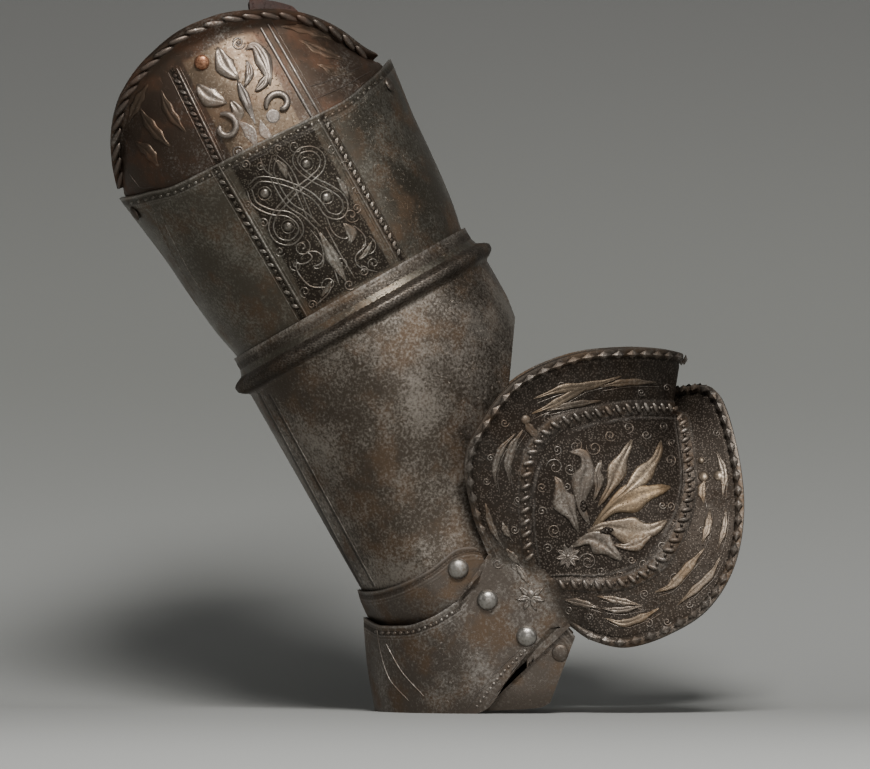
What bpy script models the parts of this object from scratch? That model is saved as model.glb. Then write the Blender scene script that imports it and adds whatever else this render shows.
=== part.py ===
"""Rerebrace with its couter: an upper cannon that turns on a lower cannon, two
elbow lames, and a couter whose heart-shaped wing closes round the bend of the
arm. The part stands on the lower rim of the couter with the upper arm leaning
back. Sizes below are in millimetres and degrees; X runs to the front of the
arm, -Y to its outer side, +Z up, and the floor is at Z = 0."""

import math

import bmesh
import bpy
import numpy as np
from mathutils import Vector

MM = 0.001

# Plates and fits
PLATE = 1.3
SLIDE_GAP = 0.7
TURN_GAP = 0.5
RIVET_GAP = 0.3

# Pivots of the elbow, as (X, Z), where each rivet runs along Y
CANNON_PIVOT = (13.3, 68.4)
LAME_PIVOT = (27.1, 53.7)
FOREARM_PIVOT = (45.6, 36.6)
FOREARM_RIVET = (61.4, 28.6)

# Cannons at the elbow
ELBOW_HALF_WIDTH = 51.8

# Couter: its half width follows the lames under it
COUTER_HALF_WIDTH = ELBOW_HALF_WIDTH + 2.0 * SLIDE_GAP + 2.0 * PLATE
COUTER_BACK_HEIGHT = 0.80 * COUTER_HALF_WIDTH
FOOT_SET_IN = 5.5
COUTER_BACK_BULGE = 1.1
COUTER_TOP_CORNER = 44.0
COUTER_FOOT_CORNER = 58.0
WING_REACH = 121.3
WING_RISE = 172.9
WING_HALF_WIDTH = 70.0
WING_RIM_ROLL = 1.2

# Cannons: the tilt is measured from the vertical
TILT = 29.6
ELBOW_LENGTH = 138.5
PIVOT_SET_BACK = 19.3
ELBOW_SET_BACK = 29.3
OVAL_START = 35.0
OVAL_RUN = 90.0
FRONT_TAPER = 2.5
COLLAR_RADIUS = 63.0
COLLAR_DEPTH = 8.0
RIDGE_RADIUS = 69.3
RIDGE_WIDTH = 10.6
LOWER_RADIUS = 64.5
HEM_DEPTH = 8.0
FRONT_CUT_TOP = (40.2, 185.0)
FRONT_CUT_FOOT = (28.5, 62.0)
UPPER_LENGTH = 93.0
UPPER_MOUTH_RADIUS = 72.8
FLANGE_RADIUS = 66.0

# Elbow lames: how far they lie flat, and their reach from the pivot to the
# back, each over what is under it, with the couter over both
FLAT_RADIUS = 14.0
LOWER_FLAT_RADIUS = 24.0
LAME_CLEARANCE = 2.5
BACK_CLEARANCE = 2.3
LAME_REACH = LOWER_RADIUS - PIVOT_SET_BACK + LAME_CLEARANCE + PLATE
LAME_BACK = CANNON_PIVOT[0] - math.sqrt(LAME_REACH**2 - (CANNON_PIVOT[1] - COUTER_BACK_HEIGHT) ** 2)
COUTER_BACK = LAME_BACK - SLIDE_GAP - PLATE
LOWER_LAME_REACH = FOREARM_PIVOT[0] - COUTER_BACK - PLATE - BACK_CLEARANCE

# Top lame and its leather
LAME_HEIGHT = 145.5
LAME_INSIDE_GAP = 1.3
LAME_LEAN = 10.5
LAME_FLARE = 6.5
END_FLARE = 0.35
LAME_RIM_ROLL = 0.9
LAME_END = 8.0
BACK_RIVET_ANGLE = 15.0
FRONT_RIVET_ANGLE = 157.0
BACK_RIVET_HEIGHT = 83.0
FRONT_RIVET_HEIGHT = 76.5
HINGE_MARGIN = 9.0
LAME_FOOT_SAG = 3.0
HINGE_LIFT = 0.6
BOSS_ANGLE = 84.0
BOSS_DROP = 17.5
BOSS_LIFT = 1.2
LEATHER_THICKNESS = 2.4
LEATHER_GAP = 0.8
LEATHER_BACK_ANGLE = 78.0
LEATHER_FRONT_ANGLE = 141.0
LEATHER_DROP = 7.5
LEATHER_FOOT_DROP = 25.0
TAB_ANGLE = 112.0
TAB_RUN = 8.0
TAB_END_ANGLE = 137.0
TAB_END_RUN = 5.0
TAB_RISE = 8.5

# Rivets
SHANK_RADIUS = 2.0
HEAD_RADIUS = 5.0
HEAD_RISE = 3.2
WASHER_RADIUS = 3.8
WASHER_THICKNESS = 1.2
SMALL_HEAD_RADIUS = 3.6
SMALL_HEAD_RISE = 1.3
FLUSH_HEAD_RADIUS = 4.0
FLUSH_HEAD_RISE = 0.9

# Faces
CANNON_COLUMNS = 40
LAME_ROWS = 5
RIVET_SIDES = 10
CUTTER_SIDES = 16
LAME_COLUMNS = 25
LEATHER_COLUMNS = 13
LOWER_CANNON_ROWS = 8
HOLE_REACH = 16.0

# Edges of the couter behind the wing: X and Z, as shares of the couter's half width
COUTER_TOP_EDGE = (
    (-0.57, 0.80), (-0.42, 0.735), (-0.22, 0.74), (0.0, 0.81), (0.16, 0.905), (0.32, 1.025), (0.545, 1.225),
)
COUTER_FOOT_EDGE = (
    (-0.47, 0.0), (0.38, 0.0), (0.48, 0.04), (0.58, 0.16), (0.69, 0.36), (0.92, 0.60), (1.045, 0.775),
)

# Stations of the wing from its neck to the front. X is from the lame pivot as a
# share of WING_REACH, Z a share of WING_RISE and Y a share of WING_HALF_WIDTH.
# Each station crosses the upper rim, upper rib, crease, lower rib and lower rim.
WING_STATIONS = (
    # rim X, rim Z, rib X, rib Z, crease X, crease Z, rib X, rib Z, rim X, rim Z
    (0.00, 0.437, 0.175, 0.387, 0.200, 0.370, 0.230, 0.352, 0.325, 0.237),
    (-0.06, 0.550, 0.155, 0.463, 0.255, 0.416, 0.335, 0.355, 0.411, 0.200),
    (-0.09, 0.681, 0.145, 0.580, 0.325, 0.462, 0.450, 0.352, 0.537, 0.182),
    (-0.04, 0.780, 0.165, 0.700, 0.420, 0.526, 0.580, 0.372, 0.700, 0.217),
    (0.105, 0.908, 0.250, 0.783, 0.510, 0.584, 0.685, 0.428, 0.860, 0.290),
    (0.325, 0.979, 0.370, 0.812, 0.590, 0.645, 0.757, 0.520, 0.965, 0.415),
    (0.535, 0.997, 0.535, 0.832, 0.665, 0.723, 0.785, 0.619, 0.998, 0.578),
    (0.700, 0.992, 0.672, 0.833, 0.718, 0.782, 0.772, 0.746, 0.962, 0.759),
    (0.757, 0.979, 0.725, 0.831, 0.737, 0.805, 0.753, 0.803, 0.889, 0.882),
    (0.683, 0.963, 0.650, 0.842, 0.650, 0.818, 0.667, 0.813, 0.754, 0.886),
)
WING_DEPTHS = (
    # rim, rib, crease, rib, rim
    (0.825, 0.825, 0.820, 0.825, 0.815),
    (0.885, 0.840, 0.812, 0.840, 0.880),
    (0.957, 0.857, 0.814, 0.857, 0.950),
    (1.000, 0.864, 0.821, 0.864, 0.985),
    (0.986, 0.843, 0.800, 0.843, 0.971),
    (0.914, 0.771, 0.729, 0.757, 0.886),
    (0.743, 0.614, 0.586, 0.600, 0.714),
    (0.486, 0.400, 0.386, 0.400, 0.486),
    (0.257, 0.214, 0.200, 0.214, 0.257),
    (0.000, 0.000, 0.000, 0.000, 0.000),
)

# Edges of the elbow lames from the ear to the back: X and Z from the pivot that
# the lame is turned about, as shares of its reach
UPPER_LAME_EDGES = (
    # top X, top Z, foot X, foot Z
    (0.190, 0.195, 0.470, -0.320),
    (0.110, 0.212, 0.380, -0.460),
    (-0.030, 0.185, 0.220, -0.530),
    (-0.150, 0.090, 0.040, -0.565),
    (-0.278, -0.010, -0.169, -0.620),
    (-0.520, -0.133, -0.373, -0.692),
    (-0.760, -0.215, -0.510, -0.742),
    (-0.905, -0.235, -0.590, -0.765),
    (-0.975, -0.222, -0.620, -0.785),
)
LOWER_LAME_EDGES = (
    (0.312, -0.003, 0.150, -0.430),
    (0.220, 0.085, 0.090, -0.458),
    (0.060, 0.141, 0.000, -0.468),
    (-0.090, 0.110, -0.130, -0.475),
    (-0.220, 0.000, -0.290, -0.480),
    (-0.440, -0.110, -0.480, -0.484),
    (-0.680, -0.180, -0.660, -0.486),
    (-0.880, -0.218, -0.800, -0.487),
    (-0.974, -0.226, -0.873, -0.488),
)

# Upper cannon: height share and the share of its flare from the collar
UPPER_FLARE = ((0.0, 0.0), (0.17, 0.26), (0.40, 0.46), (0.62, 0.60), (0.81, 0.80), (1.0, 1.0))
# Angle from the back round the outer side, and height as a share of UPPER_LENGTH
UPPER_EDGE = (
    (0, 1.0), (32, 0.955), (50, 0.91), (90, 0.885), (125, 0.86), (145, 0.89),
    (180, 0.935), (225, 0.88), (270, 0.84), (315, 0.90),
)
# Angle, and the height of the rim as a share of LAME_HEIGHT
LAME_RIM = (
    (6, 0.66), (18, 0.755), (30, 0.842), (46, 0.928), (66, 0.985), (83, 1.005), (98, 0.992),
    (112, 0.955), (125, 0.908), (137, 0.845), (149, 0.755), (158, 0.665), (167, 0.615),
)
# Turner ridge: depth below the collar as a share of its width, and rise share
RIDGE_SECTION = (
    (0.0, 0.0), (0.13, 0.22), (0.28, 0.72), (0.44, 1.0), (0.64, 0.96), (0.84, 0.62), (0.98, 0.27),
)
RIDGE_FOOT = 1.12
# Rows of the upper cannon as shares of its height
UPPER_ROWS = (1.0, 0.955, 0.8, 0.62, 0.44, 0.26, 0.1)
# Rows across the couter in sixths: two channels and a creased field
COUTER_ROWS = (0.0, 0.45, 1.15, 2.0, 2.35, 3.0, 3.65, 4.0, 4.85, 5.55, 6.0)
CUP_ANGLES = (0, 9, 19, 30, 42, 55, 68, 79)
SIDE_SHARES = (0.0, 0.5)
# Height share from the cannon's edge to the rim, lean share and flare share
LAME_SECTION = (
    (0.0, 0.0, 0.0), (0.25, 0.12, 0.0), (0.5, 0.40, 0.0), (0.72, 0.80, 0.0),
    (0.86, 1.0, 0.12), (0.94, 1.0, 0.55), (1.0, 1.0, 1.0),
)

# Colour, roughness and metallic value
MATERIALS = {
    "steel": ((0.13, 0.115, 0.10, 1.0), 0.42, 1.0),
    "embossed_steel": ((0.16, 0.135, 0.105, 1.0), 0.38, 1.0),
    "bright_steel": ((0.52, 0.50, 0.47, 1.0), 0.28, 1.0),
    "copper": ((0.45, 0.22, 0.12, 1.0), 0.40, 1.0),
    "leather": ((0.055, 0.022, 0.014, 1.0), 0.75, 0.0),
}


def clear_scene():
    for item in list(bpy.data.objects):
        bpy.data.objects.remove(item, do_unlink=True)


def material(name):
    """The Principled material of that name, made on first use."""
    found = bpy.data.materials.get(name)
    if found:
        return found
    colour, roughness, metallic = MATERIALS[name]
    made = bpy.data.materials.new(name)
    made.use_nodes = True
    shader = made.node_tree.nodes["Principled BSDF"]
    shader.inputs["Base Color"].default_value = colour
    shader.inputs["Roughness"].default_value = roughness
    shader.inputs["Metallic"].default_value = metallic
    return made


def ease(value):
    """A smooth step from 0 to 1."""
    held = np.clip(value, 0.0, 1.0)
    return held * held * (3.0 - 2.0 * held)


def unit(vectors):
    return vectors / np.linalg.norm(vectors, axis=-1, keepdims=True)


def level_slopes(rows):
    """Slopes at a table's rows that never carry a curve past its rows."""
    steps = np.diff(rows[:, 1:], axis=0) / np.diff(rows[:, 0])[:, None]
    before, after = steps[:-1], steps[1:]
    same_way = before * after > 0.0
    total = np.where(same_way, before + after, 1.0)
    inner = np.where(same_way, 2.0 * before * after / total, 0.0)
    return np.concatenate((steps[:1], inner, steps[-1:]))


def read_table(table, at, free=False):
    """The table's further columns, read smoothly at values of its first column.
    A free curve swings past its rows where they turn."""
    rows = np.array(table, dtype=float)
    slopes = np.gradient(rows[:, 1:], rows[:, 0], axis=0) if free else level_slopes(rows)
    at = np.clip(np.atleast_1d(at), rows[0, 0], rows[-1, 0])
    index = np.clip(np.searchsorted(rows[:, 0], at, side="right") - 1, 0, len(rows) - 2)
    span = (rows[index + 1, 0] - rows[index, 0])[:, None]
    t = ((at - rows[index, 0])[:, None]) / span
    start, end = rows[index, 1:], rows[index + 1, 1:]
    rise = slopes[index] * span
    run_out = slopes[index + 1] * span
    return (
        start * (2 * t**3 - 3 * t**2 + 1) + rise * (t**3 - 2 * t**2 + t)
        + end * (3 * t**2 - 2 * t**3) + run_out * (t**3 - t**2)
    )


def through(keys, steps):
    """A smooth curve through the keys, with a number of steps from key to key."""
    keys = np.asarray(keys, dtype=float)
    places = np.arange(len(keys), dtype=float)
    wanted = np.linspace(0.0, len(keys) - 1.0, steps * (len(keys) - 1) + 1)
    flat = keys.reshape(len(keys), -1)
    read = read_table(np.column_stack((places, flat)), wanted, free=True)
    return read.reshape((len(wanted),) + keys.shape[1:])


def mirrored_loop(outer_half):
    """Columns from the back to the front on the outer side, closed round by
    their mirror image. The first and the last column lie on the middle plane."""
    inner_half = outer_half[-2:0:-1].copy()
    inner_half[..., 1] *= -1.0
    return np.concatenate((outer_half, inner_half))


def outward(skin, closed):
    """Normals of a grid of points whose columns run from the back round the
    outer side to the front and whose rows run down."""
    if closed:
        along = np.roll(skin, -1, axis=0) - np.roll(skin, 1, axis=0)
    else:
        along = np.gradient(skin, axis=0)
    return unit(np.cross(np.gradient(skin, axis=1), along))


def add_object(name, mesh_data, slot, pivot):
    """An object whose origin is at the pivot of the body that it moves with."""
    points, faces = mesh_data
    mesh = bpy.data.meshes.new(name)
    local = (np.asarray(points) - np.asarray(pivot)) * MM
    mesh.from_pydata([tuple(p) for p in local], [], faces)
    work = bmesh.new()
    work.from_mesh(mesh)
    bmesh.ops.recalc_face_normals(work, faces=work.faces)
    work.to_mesh(mesh)
    work.free()
    mesh.shade_smooth()
    mesh.set_sharp_from_angle(angle=math.radians(38.0))
    mesh.materials.append(material(slot))
    made = bpy.data.objects.new(name, mesh)
    made.location = Vector([c * MM for c in pivot])
    bpy.context.collection.objects.link(made)
    return made


def shell(skin, closed, wall=PLATE, roll=0.0):
    """Points and faces of a plate under an outer skin. The roll thickens the
    plate by that much outward and half of it inward."""
    columns, rows = skin.shape[:2]
    normal = outward(skin, closed)
    roll = np.broadcast_to(roll, (columns, rows))[..., None]
    outside = skin + normal * roll
    inside = skin - normal * (wall + 0.5 * roll)
    on_floor = outside[:, -1, 2] < 0.1 * wall
    inside[on_floor, -1, 2] = outside[on_floor, -1, 2] = 0.0
    points = np.concatenate((outside.reshape(-1, 3), inside.reshape(-1, 3)))

    def at(column, row, layer):
        return layer * columns * rows + (column % columns) * rows + row

    def edge_face(one, other):
        return [at(*one, 0), at(*other, 0), at(*other, 1), at(*one, 1)]

    faces = []
    for column in range(columns if closed else columns - 1):
        for row in range(rows - 1):
            corners = ((column, row), (column, row + 1), (column + 1, row + 1), (column + 1, row))
            faces.append([at(c, r, 0) for c, r in corners])
            faces.append([at(c, r, 1) for c, r in reversed(corners)])
        for row in (0, rows - 1):
            faces.append(edge_face((column, row), (column + 1, row)))
    if not closed:
        for column in (0, columns - 1):
            for row in range(rows - 1):
                faces.append(edge_face((column, row), (column, row + 1)))
    return points, faces


def cut(target, cutter):
    step = target.modifiers.new("cut_" + cutter.name, "BOOLEAN")
    step.operation = "DIFFERENCE"
    step.solver = "EXACT"
    step.object = cutter


def as_cutter(made):
    made.hide_render = True
    made.display_type = "WIRE"
    return made


def spokes_about(axis, sides):
    """Unit spokes square to an axis, evenly round it."""
    side = unit(np.cross(axis, (0.31, 0.17, 0.93)))
    other = np.cross(axis, side)
    turns = np.arange(sides) * 2.0 * math.pi / sides
    return np.cos(turns)[:, None] * side + np.sin(turns)[:, None] * other


def rod_cutter(name, start, end, radius):
    """A round cutter from one point to another."""
    start = np.array(start, dtype=float)
    end = np.array(end, dtype=float)
    ring = radius * spokes_about(unit(end - start), CUTTER_SIDES)
    points = np.concatenate((start + ring, end + ring))
    faces = []
    for i in range(CUTTER_SIDES):
        after = (i + 1) % CUTTER_SIDES
        faces.append([i, after, CUTTER_SIDES + after, CUTTER_SIDES + i])
    faces += [list(range(CUTTER_SIDES))[::-1], list(range(CUTTER_SIDES, 2 * CUTTER_SIDES))]
    return as_cutter(add_object(name, (points, faces), "steel", start))


# Cannon frame: up the arm, and square to it toward the front
UP = np.array((-math.sin(math.radians(TILT)), 0.0, math.cos(math.radians(TILT))))
ACROSS = np.array((0.0, 1.0, 0.0))
FORE = np.array((UP[2], 0.0, -UP[0]))
COLLAR = np.array((CANNON_PIVOT[0], 0.0, CANNON_PIVOT[1])) + ELBOW_LENGTH * UP + PIVOT_SET_BACK * FORE


def cannon_place(fore, across, height):
    """World points from places forward of the cannon's axis, across it and up it."""
    fore, across, height = np.broadcast_arrays(fore, across, height)
    return COLLAR + fore[..., None] * FORE + across[..., None] * ACROSS + height[..., None] * UP


def ring_place(angles, radius, height):
    """Points round the cannon; the angle starts at the back and passes the outer side."""
    turn = np.radians(angles)
    return cannon_place(-radius * np.cos(turn), -radius * np.sin(turn), height)


def cannon_angles():
    return np.arange(CANNON_COLUMNS) * 360.0 / CANNON_COLUMNS


def upper_radius(height):
    """Outer radius of the upper cannon, and how far it lies inside the collar."""
    foot = COLLAR_RADIUS - PLATE - TURN_GAP
    share = read_table(UPPER_FLARE, np.ravel(height) / UPPER_LENGTH)[:, 0].reshape(np.shape(height))
    return foot + (UPPER_MOUTH_RADIUS - foot) * share


def upper_edge(angles):
    table = [(angle + turn, share) for turn in (-360.0, 0.0, 360.0) for angle, share in UPPER_EDGE]
    return UPPER_LENGTH * read_table(table, np.ravel(angles))[:, 0].reshape(np.shape(angles))


def build_upper_cannon(pivot):
    angles = cannon_angles()
    edge = upper_edge(angles)
    neck_bend = FLANGE_RADIUS - COLLAR_RADIUS
    heights = [edge * share for share in UPPER_ROWS]
    radii = [upper_radius(height) for height in heights]
    foot = COLLAR_RADIUS - PLATE - TURN_GAP
    flange_top = -COLLAR_DEPTH - 0.44 * RIDGE_WIDTH
    for radius, height in (
        (foot, TURN_GAP),
        (foot, flange_top + 0.3 * neck_bend),
        (foot + 0.2 * neck_bend, flange_top),
        (FLANGE_RADIUS, flange_top),
    ):
        heights.append(np.full(CANNON_COLUMNS, height))
        radii.append(np.full(CANNON_COLUMNS, radius))
    skin = ring_place(angles[:, None], np.stack(radii, axis=1), np.stack(heights, axis=1))
    return add_object("upper_cannon", shell(skin, closed=True), "steel", pivot)


def lower_section(height):
    """Middle, back and front lengths and half width of the lower cannon."""
    toward_elbow = ease((-height - OVAL_START) / OVAL_RUN)
    middle = -ELBOW_SET_BACK * toward_elbow
    half_width = LOWER_RADIUS + (ELBOW_HALF_WIDTH - LOWER_RADIUS) * toward_elbow
    taper = FRONT_TAPER * ease((-height - OVAL_START) / (0.25 * OVAL_RUN))
    return middle, LOWER_RADIUS + middle, LOWER_RADIUS - middle - taper, half_width


def build_lower_cannon(pivot, front_cutter):
    angles = cannon_angles()
    turn = np.radians(angles)
    rise = RIDGE_RADIUS - COLLAR_RADIUS
    columns = [ring_place(angles, COLLAR_RADIUS, 0.0)]
    for depth, share in RIDGE_SECTION:
        radius = COLLAR_RADIUS + rise * share
        columns.append(ring_place(angles, radius, -COLLAR_DEPTH - RIDGE_WIDTH * depth))
    foot = -ELBOW_LENGTH - HEM_DEPTH
    start = -COLLAR_DEPTH - RIDGE_FOOT * RIDGE_WIDTH
    for height in np.linspace(start, foot, LOWER_CANNON_ROWS):
        middle, back, front, half_width = lower_section(height)
        length = np.where(np.cos(turn) > 0.0, back, front)
        columns.append(cannon_place(middle - length * np.cos(turn), -half_width * np.sin(turn), height))
    skin = np.stack(columns, axis=1)
    made = add_object("lower_cannon", shell(skin, closed=True), "steel", pivot)
    cut(made, front_cutter)
    return made


def front_cutter():
    """A wedge that opens the front of the lower cannon over the bend of the arm."""
    top = np.array(FRONT_CUT_TOP)
    foot = np.array(FRONT_CUT_FOOT)
    below = foot + (foot - top) * 0.4
    reach = 2.0 * LOWER_RADIUS
    side = [tuple(top), (top[0] + reach, top[1]), (top[0] + reach, below[1]), tuple(below)]
    points = [(x, y, z) for y in (-reach, reach) for x, z in side]
    faces = [[0, 1, 2, 3], [7, 6, 5, 4]]
    faces += [[i, (i + 1) % 4, 4 + (i + 1) % 4, 4 + i] for i in range(4)]
    return as_cutter(add_object("front_cutter", (points, faces), "steel", (0.0, 0.0, 0.0)))


def turned_depth(reach_from_pivot, reach, flat, half_width):
    """Half width of a plate turned about a pivot, flat near it and round to the back."""
    past_flat = np.clip((reach_from_pivot - flat) / (reach - flat), 0.0, 1.0)
    return half_width * np.sqrt(1.0 - past_flat**2)


def lame_half_width():
    """Both lames lie in one layer, over the lower cannon and under the couter."""
    return ELBOW_HALF_WIDTH + SLIDE_GAP + PLATE


def build_turned_lame(name, edges, centre, reach, flat_radius, pivot):
    """A lame that wraps the elbow from ear to ear and is turned about its pivot."""
    keys = through(np.array(edges), 2)
    share = np.linspace(0.0, 1.0, LAME_ROWS)
    top = keys[:, None, 0:2]
    foot = keys[:, None, 2:4]
    flat = top + (foot - top) * share[None, :, None]
    straight = np.linalg.norm(flat, axis=-1)
    top_reach = np.linalg.norm(top, axis=-1)
    along_arc = top_reach + (np.linalg.norm(foot, axis=-1) - top_reach) * share
    weight = (np.linspace(0.0, 1.0, len(keys)) ** 2)[:, None]
    radius = np.minimum(straight * (1.0 - weight) + along_arc * weight, 1.0)
    radius[-1] = 1.0
    place = flat / straight[..., None] * radius[..., None] * reach
    depth = turned_depth(radius * reach, reach, flat_radius, lame_half_width())
    outer = np.stack((centre[0] + place[..., 0], -depth, centre[1] + place[..., 1]), axis=-1)[::-1]
    inner = outer[:0:-1] * np.array((1.0, -1.0, 1.0))
    skin = np.concatenate((inner, outer))
    return add_object(name, shell(skin, closed=False), "steel", pivot)


def edge_height(edge, x):
    """Height of one of the couter's edges behind the wing."""
    return COUTER_HALF_WIDTH * read_table(edge, x / COUTER_HALF_WIDTH)[0, 0]


def cop_station(turn):
    """A row of points down the cup of the couter, at an angle from its back."""
    share = np.array(COUTER_ROWS) / COUTER_ROWS[-1]
    corner = COUTER_TOP_CORNER + (COUTER_FOOT_CORNER - COUTER_TOP_CORNER) * share
    back = COUTER_BACK + FOOT_SET_IN * share
    bulge = COUTER_BACK_BULGE * 4.0 * share * (1.0 - share)
    x = back + corner - (corner + bulge) * math.cos(turn)
    top = edge_height(COUTER_TOP_EDGE, x[0])
    foot = edge_height(COUTER_FOOT_EDGE, x[-1])
    z = top + (foot - top) * share
    return np.stack((x, np.full_like(x, -COUTER_HALF_WIDTH * math.sin(turn)), z), axis=-1)


def wing_keys():
    """The wing's stations as points, read from the tables."""
    flat = np.array(WING_STATIONS).reshape(len(WING_STATIONS), 5, 2)
    depth = np.array(WING_DEPTHS)
    x = LAME_PIVOT[0] + WING_REACH * flat[..., 0]
    y = -WING_HALF_WIDTH * depth
    y[0] = -COUTER_HALF_WIDTH
    return np.stack((x, y, WING_RISE * flat[..., 1]), axis=-1)


def across_station(keys):
    """Row points of one station through its five keys, with hollow channels."""
    places = (0.0, 2.0, 3.0, 4.0, 6.0)
    smooth = read_table(np.column_stack((places, keys)), COUTER_ROWS)
    straight = np.stack([np.interp(COUTER_ROWS, places, column) for column in keys.T], axis=-1)
    return 0.35 * smooth + 0.65 * straight


def couter_skin():
    cup = [cop_station(turn) for turn in np.radians(CUP_ANGLES)]
    last = cop_station(math.radians(90.0))
    keys = wing_keys()
    neck = across_station(keys[0])
    side = [last + (neck - last) * share for share in SIDE_SHARES]
    for row in side:
        row[0, 2] = edge_height(COUTER_TOP_EDGE, row[0, 0])
        row[-1, 2] = edge_height(COUTER_FOOT_EDGE, row[-1, 0])
    wing = [across_station(station) for station in through(keys, 2)]
    half = np.stack(cup + side + wing)
    half[0, :, 1] = 0.0
    half[-1, :, 1] = 0.0
    return mirrored_loop(half), len(cup) + len(side)


def build_couter(pivot):
    skin, neck = couter_skin()
    columns = len(skin)
    place = np.minimum(np.arange(columns), columns - np.arange(columns))
    on_wing = ease((place - neck) / 3.0)
    roll = np.zeros(skin.shape[:2])
    roll[:, 0] = WING_RIM_ROLL * on_wing
    roll[:, -1] = WING_RIM_ROLL * on_wing
    return add_object("couter", shell(skin, closed=True, roll=roll), "embossed_steel", pivot)


def lame_rim(angles):
    return LAME_HEIGHT * read_table(LAME_RIM, angles)[:, 0]


def top_lame_skin():
    angles = np.linspace(BACK_RIVET_ANGLE - LAME_END, FRONT_RIVET_ANGLE + LAME_END, LAME_COLUMNS)
    out = np.sin(np.radians(angles))
    edge = upper_edge(angles)
    rim = lame_rim(angles)
    along = (angles - angles[0]) / np.ptp(angles)
    low = BACK_RIVET_HEIGHT + (FRONT_RIVET_HEIGHT - BACK_RIVET_HEIGHT) * along
    low = low - HINGE_MARGIN - LAME_FOOT_SAG * out
    columns = []
    for share, lean, flare in LAME_SECTION[::-1]:
        height = edge + (rim - edge) * share
        inside = upper_radius(edge) - PLATE - LAME_INSIDE_GAP
        flared = LAME_FLARE * flare * (END_FLARE + (1.0 - END_FLARE) * out)
        columns.append(ring_place(angles, inside - LAME_LEAN * out * lean + flared, height))
    for share in (0.5, 1.0):
        height = edge + (low - edge) * share
        columns.append(ring_place(angles, upper_radius(height) - PLATE - LAME_INSIDE_GAP, height))
    return np.stack(columns, axis=1)


def build_top_lame(pivot):
    skin = top_lame_skin()
    roll = np.zeros(skin.shape[:2])
    roll[:, 0] = LAME_RIM_ROLL
    return add_object("top_lame", shell(skin, closed=False, roll=roll), "embossed_steel", pivot)


def build_leather(pivot):
    """The lining strip inside the top lame, whose front end stands up as a tab."""
    angles = np.linspace(LEATHER_BACK_ANGLE, LEATHER_FRONT_ANGLE, LEATHER_COLUMNS)
    out = np.sin(np.radians(angles))
    edge = upper_edge(angles)
    rim = lame_rim(angles)
    neck = upper_radius(edge) - PLATE - LAME_INSIDE_GAP - LAME_LEAN * out
    radius = neck - PLATE - LEATHER_GAP
    past_end = ease((angles - TAB_END_ANGLE) / TAB_END_RUN)
    on_tab = ease((angles - TAB_ANGLE) / TAB_RUN) * (1.0 - 0.5 * past_end)
    top = rim - LEATHER_DROP + (TAB_RISE + LEATHER_DROP) * on_tab
    low = rim - LEATHER_FOOT_DROP
    columns = [ring_place(angles, radius, top + (low - top) * share) for share in (0.0, 0.33, 0.67, 1.0)]
    skin = np.stack(columns, axis=1)
    return add_object("arming_tab", shell(skin, closed=False, wall=LEATHER_THICKNESS), "leather", pivot)


def rivet(name, head, facing, grip, slot, pivot, size=(HEAD_RADIUS, HEAD_RISE), washer=WASHER_RADIUS):
    """A domed head over its shank and washer, one turned solid. The head sits at
    a point, faces outward and grips so much plate below."""
    radius, rise = size
    crown = [(radius * math.cos(a), rise * math.sin(a)) for a in np.radians((0.0, 32.0, 62.0))]
    profile = [(0.0, rise)] + crown[::-1] + [(SHANK_RADIUS, 0.0), (SHANK_RADIUS, -grip)]
    profile += [(washer, -grip), (washer, -grip - WASHER_THICKNESS), (0.0, -grip - WASHER_THICKNESS)]
    axis = unit(np.array(facing, dtype=float))
    spokes = spokes_about(axis, RIVET_SIDES)
    head = np.array(head, dtype=float)
    points = [head + axis * profile[0][1]]
    for r, h in profile[1:-1]:
        points += list(head + r * spokes + h * axis)
    points.append(head + axis * profile[-1][1])

    def ring(k, i):
        return 1 + k * RIVET_SIDES + i % RIVET_SIDES

    faces = []
    last = len(profile) - 3
    for i in range(RIVET_SIDES):
        faces.append([0, ring(0, i), ring(0, i + 1)])
        for k in range(last):
            faces.append([ring(k, i), ring(k + 1, i), ring(k + 1, i + 1), ring(k, i + 1)])
        faces.append([len(points) - 1, ring(last, i + 1), ring(last, i)])
    return add_object(name, (points, faces), slot, pivot)


def side_rivets(place, stem, outer_y, inner_y, pivot, slot="bright_steel", **shape):
    """The rivet on the outer side and its twin on the inner side of the elbow."""
    for side, word in ((-1.0, "outer"), (1.0, "inner")):
        head = (place[0], side * (outer_y + RIVET_GAP), place[1])
        grip = outer_y - inner_y + 2.0 * RIVET_GAP
        rivet(f"{stem}_{word}", head, (0.0, side, 0.0), grip, slot, pivot, **shape)


def far(place, centre, radius):
    """Distance from a pivot to the far side of a washer."""
    return math.hypot(place[0] - centre[0], place[1] - centre[1]) + radius


def upper_normal(angle):
    """Outward direction of the upper cannon's wall at an angle."""
    turn = math.radians(angle)
    return unit(-math.cos(turn) * FORE + np.array((0.0, -math.sin(turn), 0.0)))


def hinge_places():
    """Word, angle and height of the top lame's two rivets."""
    return (
        ("back", BACK_RIVET_ANGLE, BACK_RIVET_HEIGHT),
        ("front", FRONT_RIVET_ANGLE, FRONT_RIVET_HEIGHT),
    )


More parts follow.
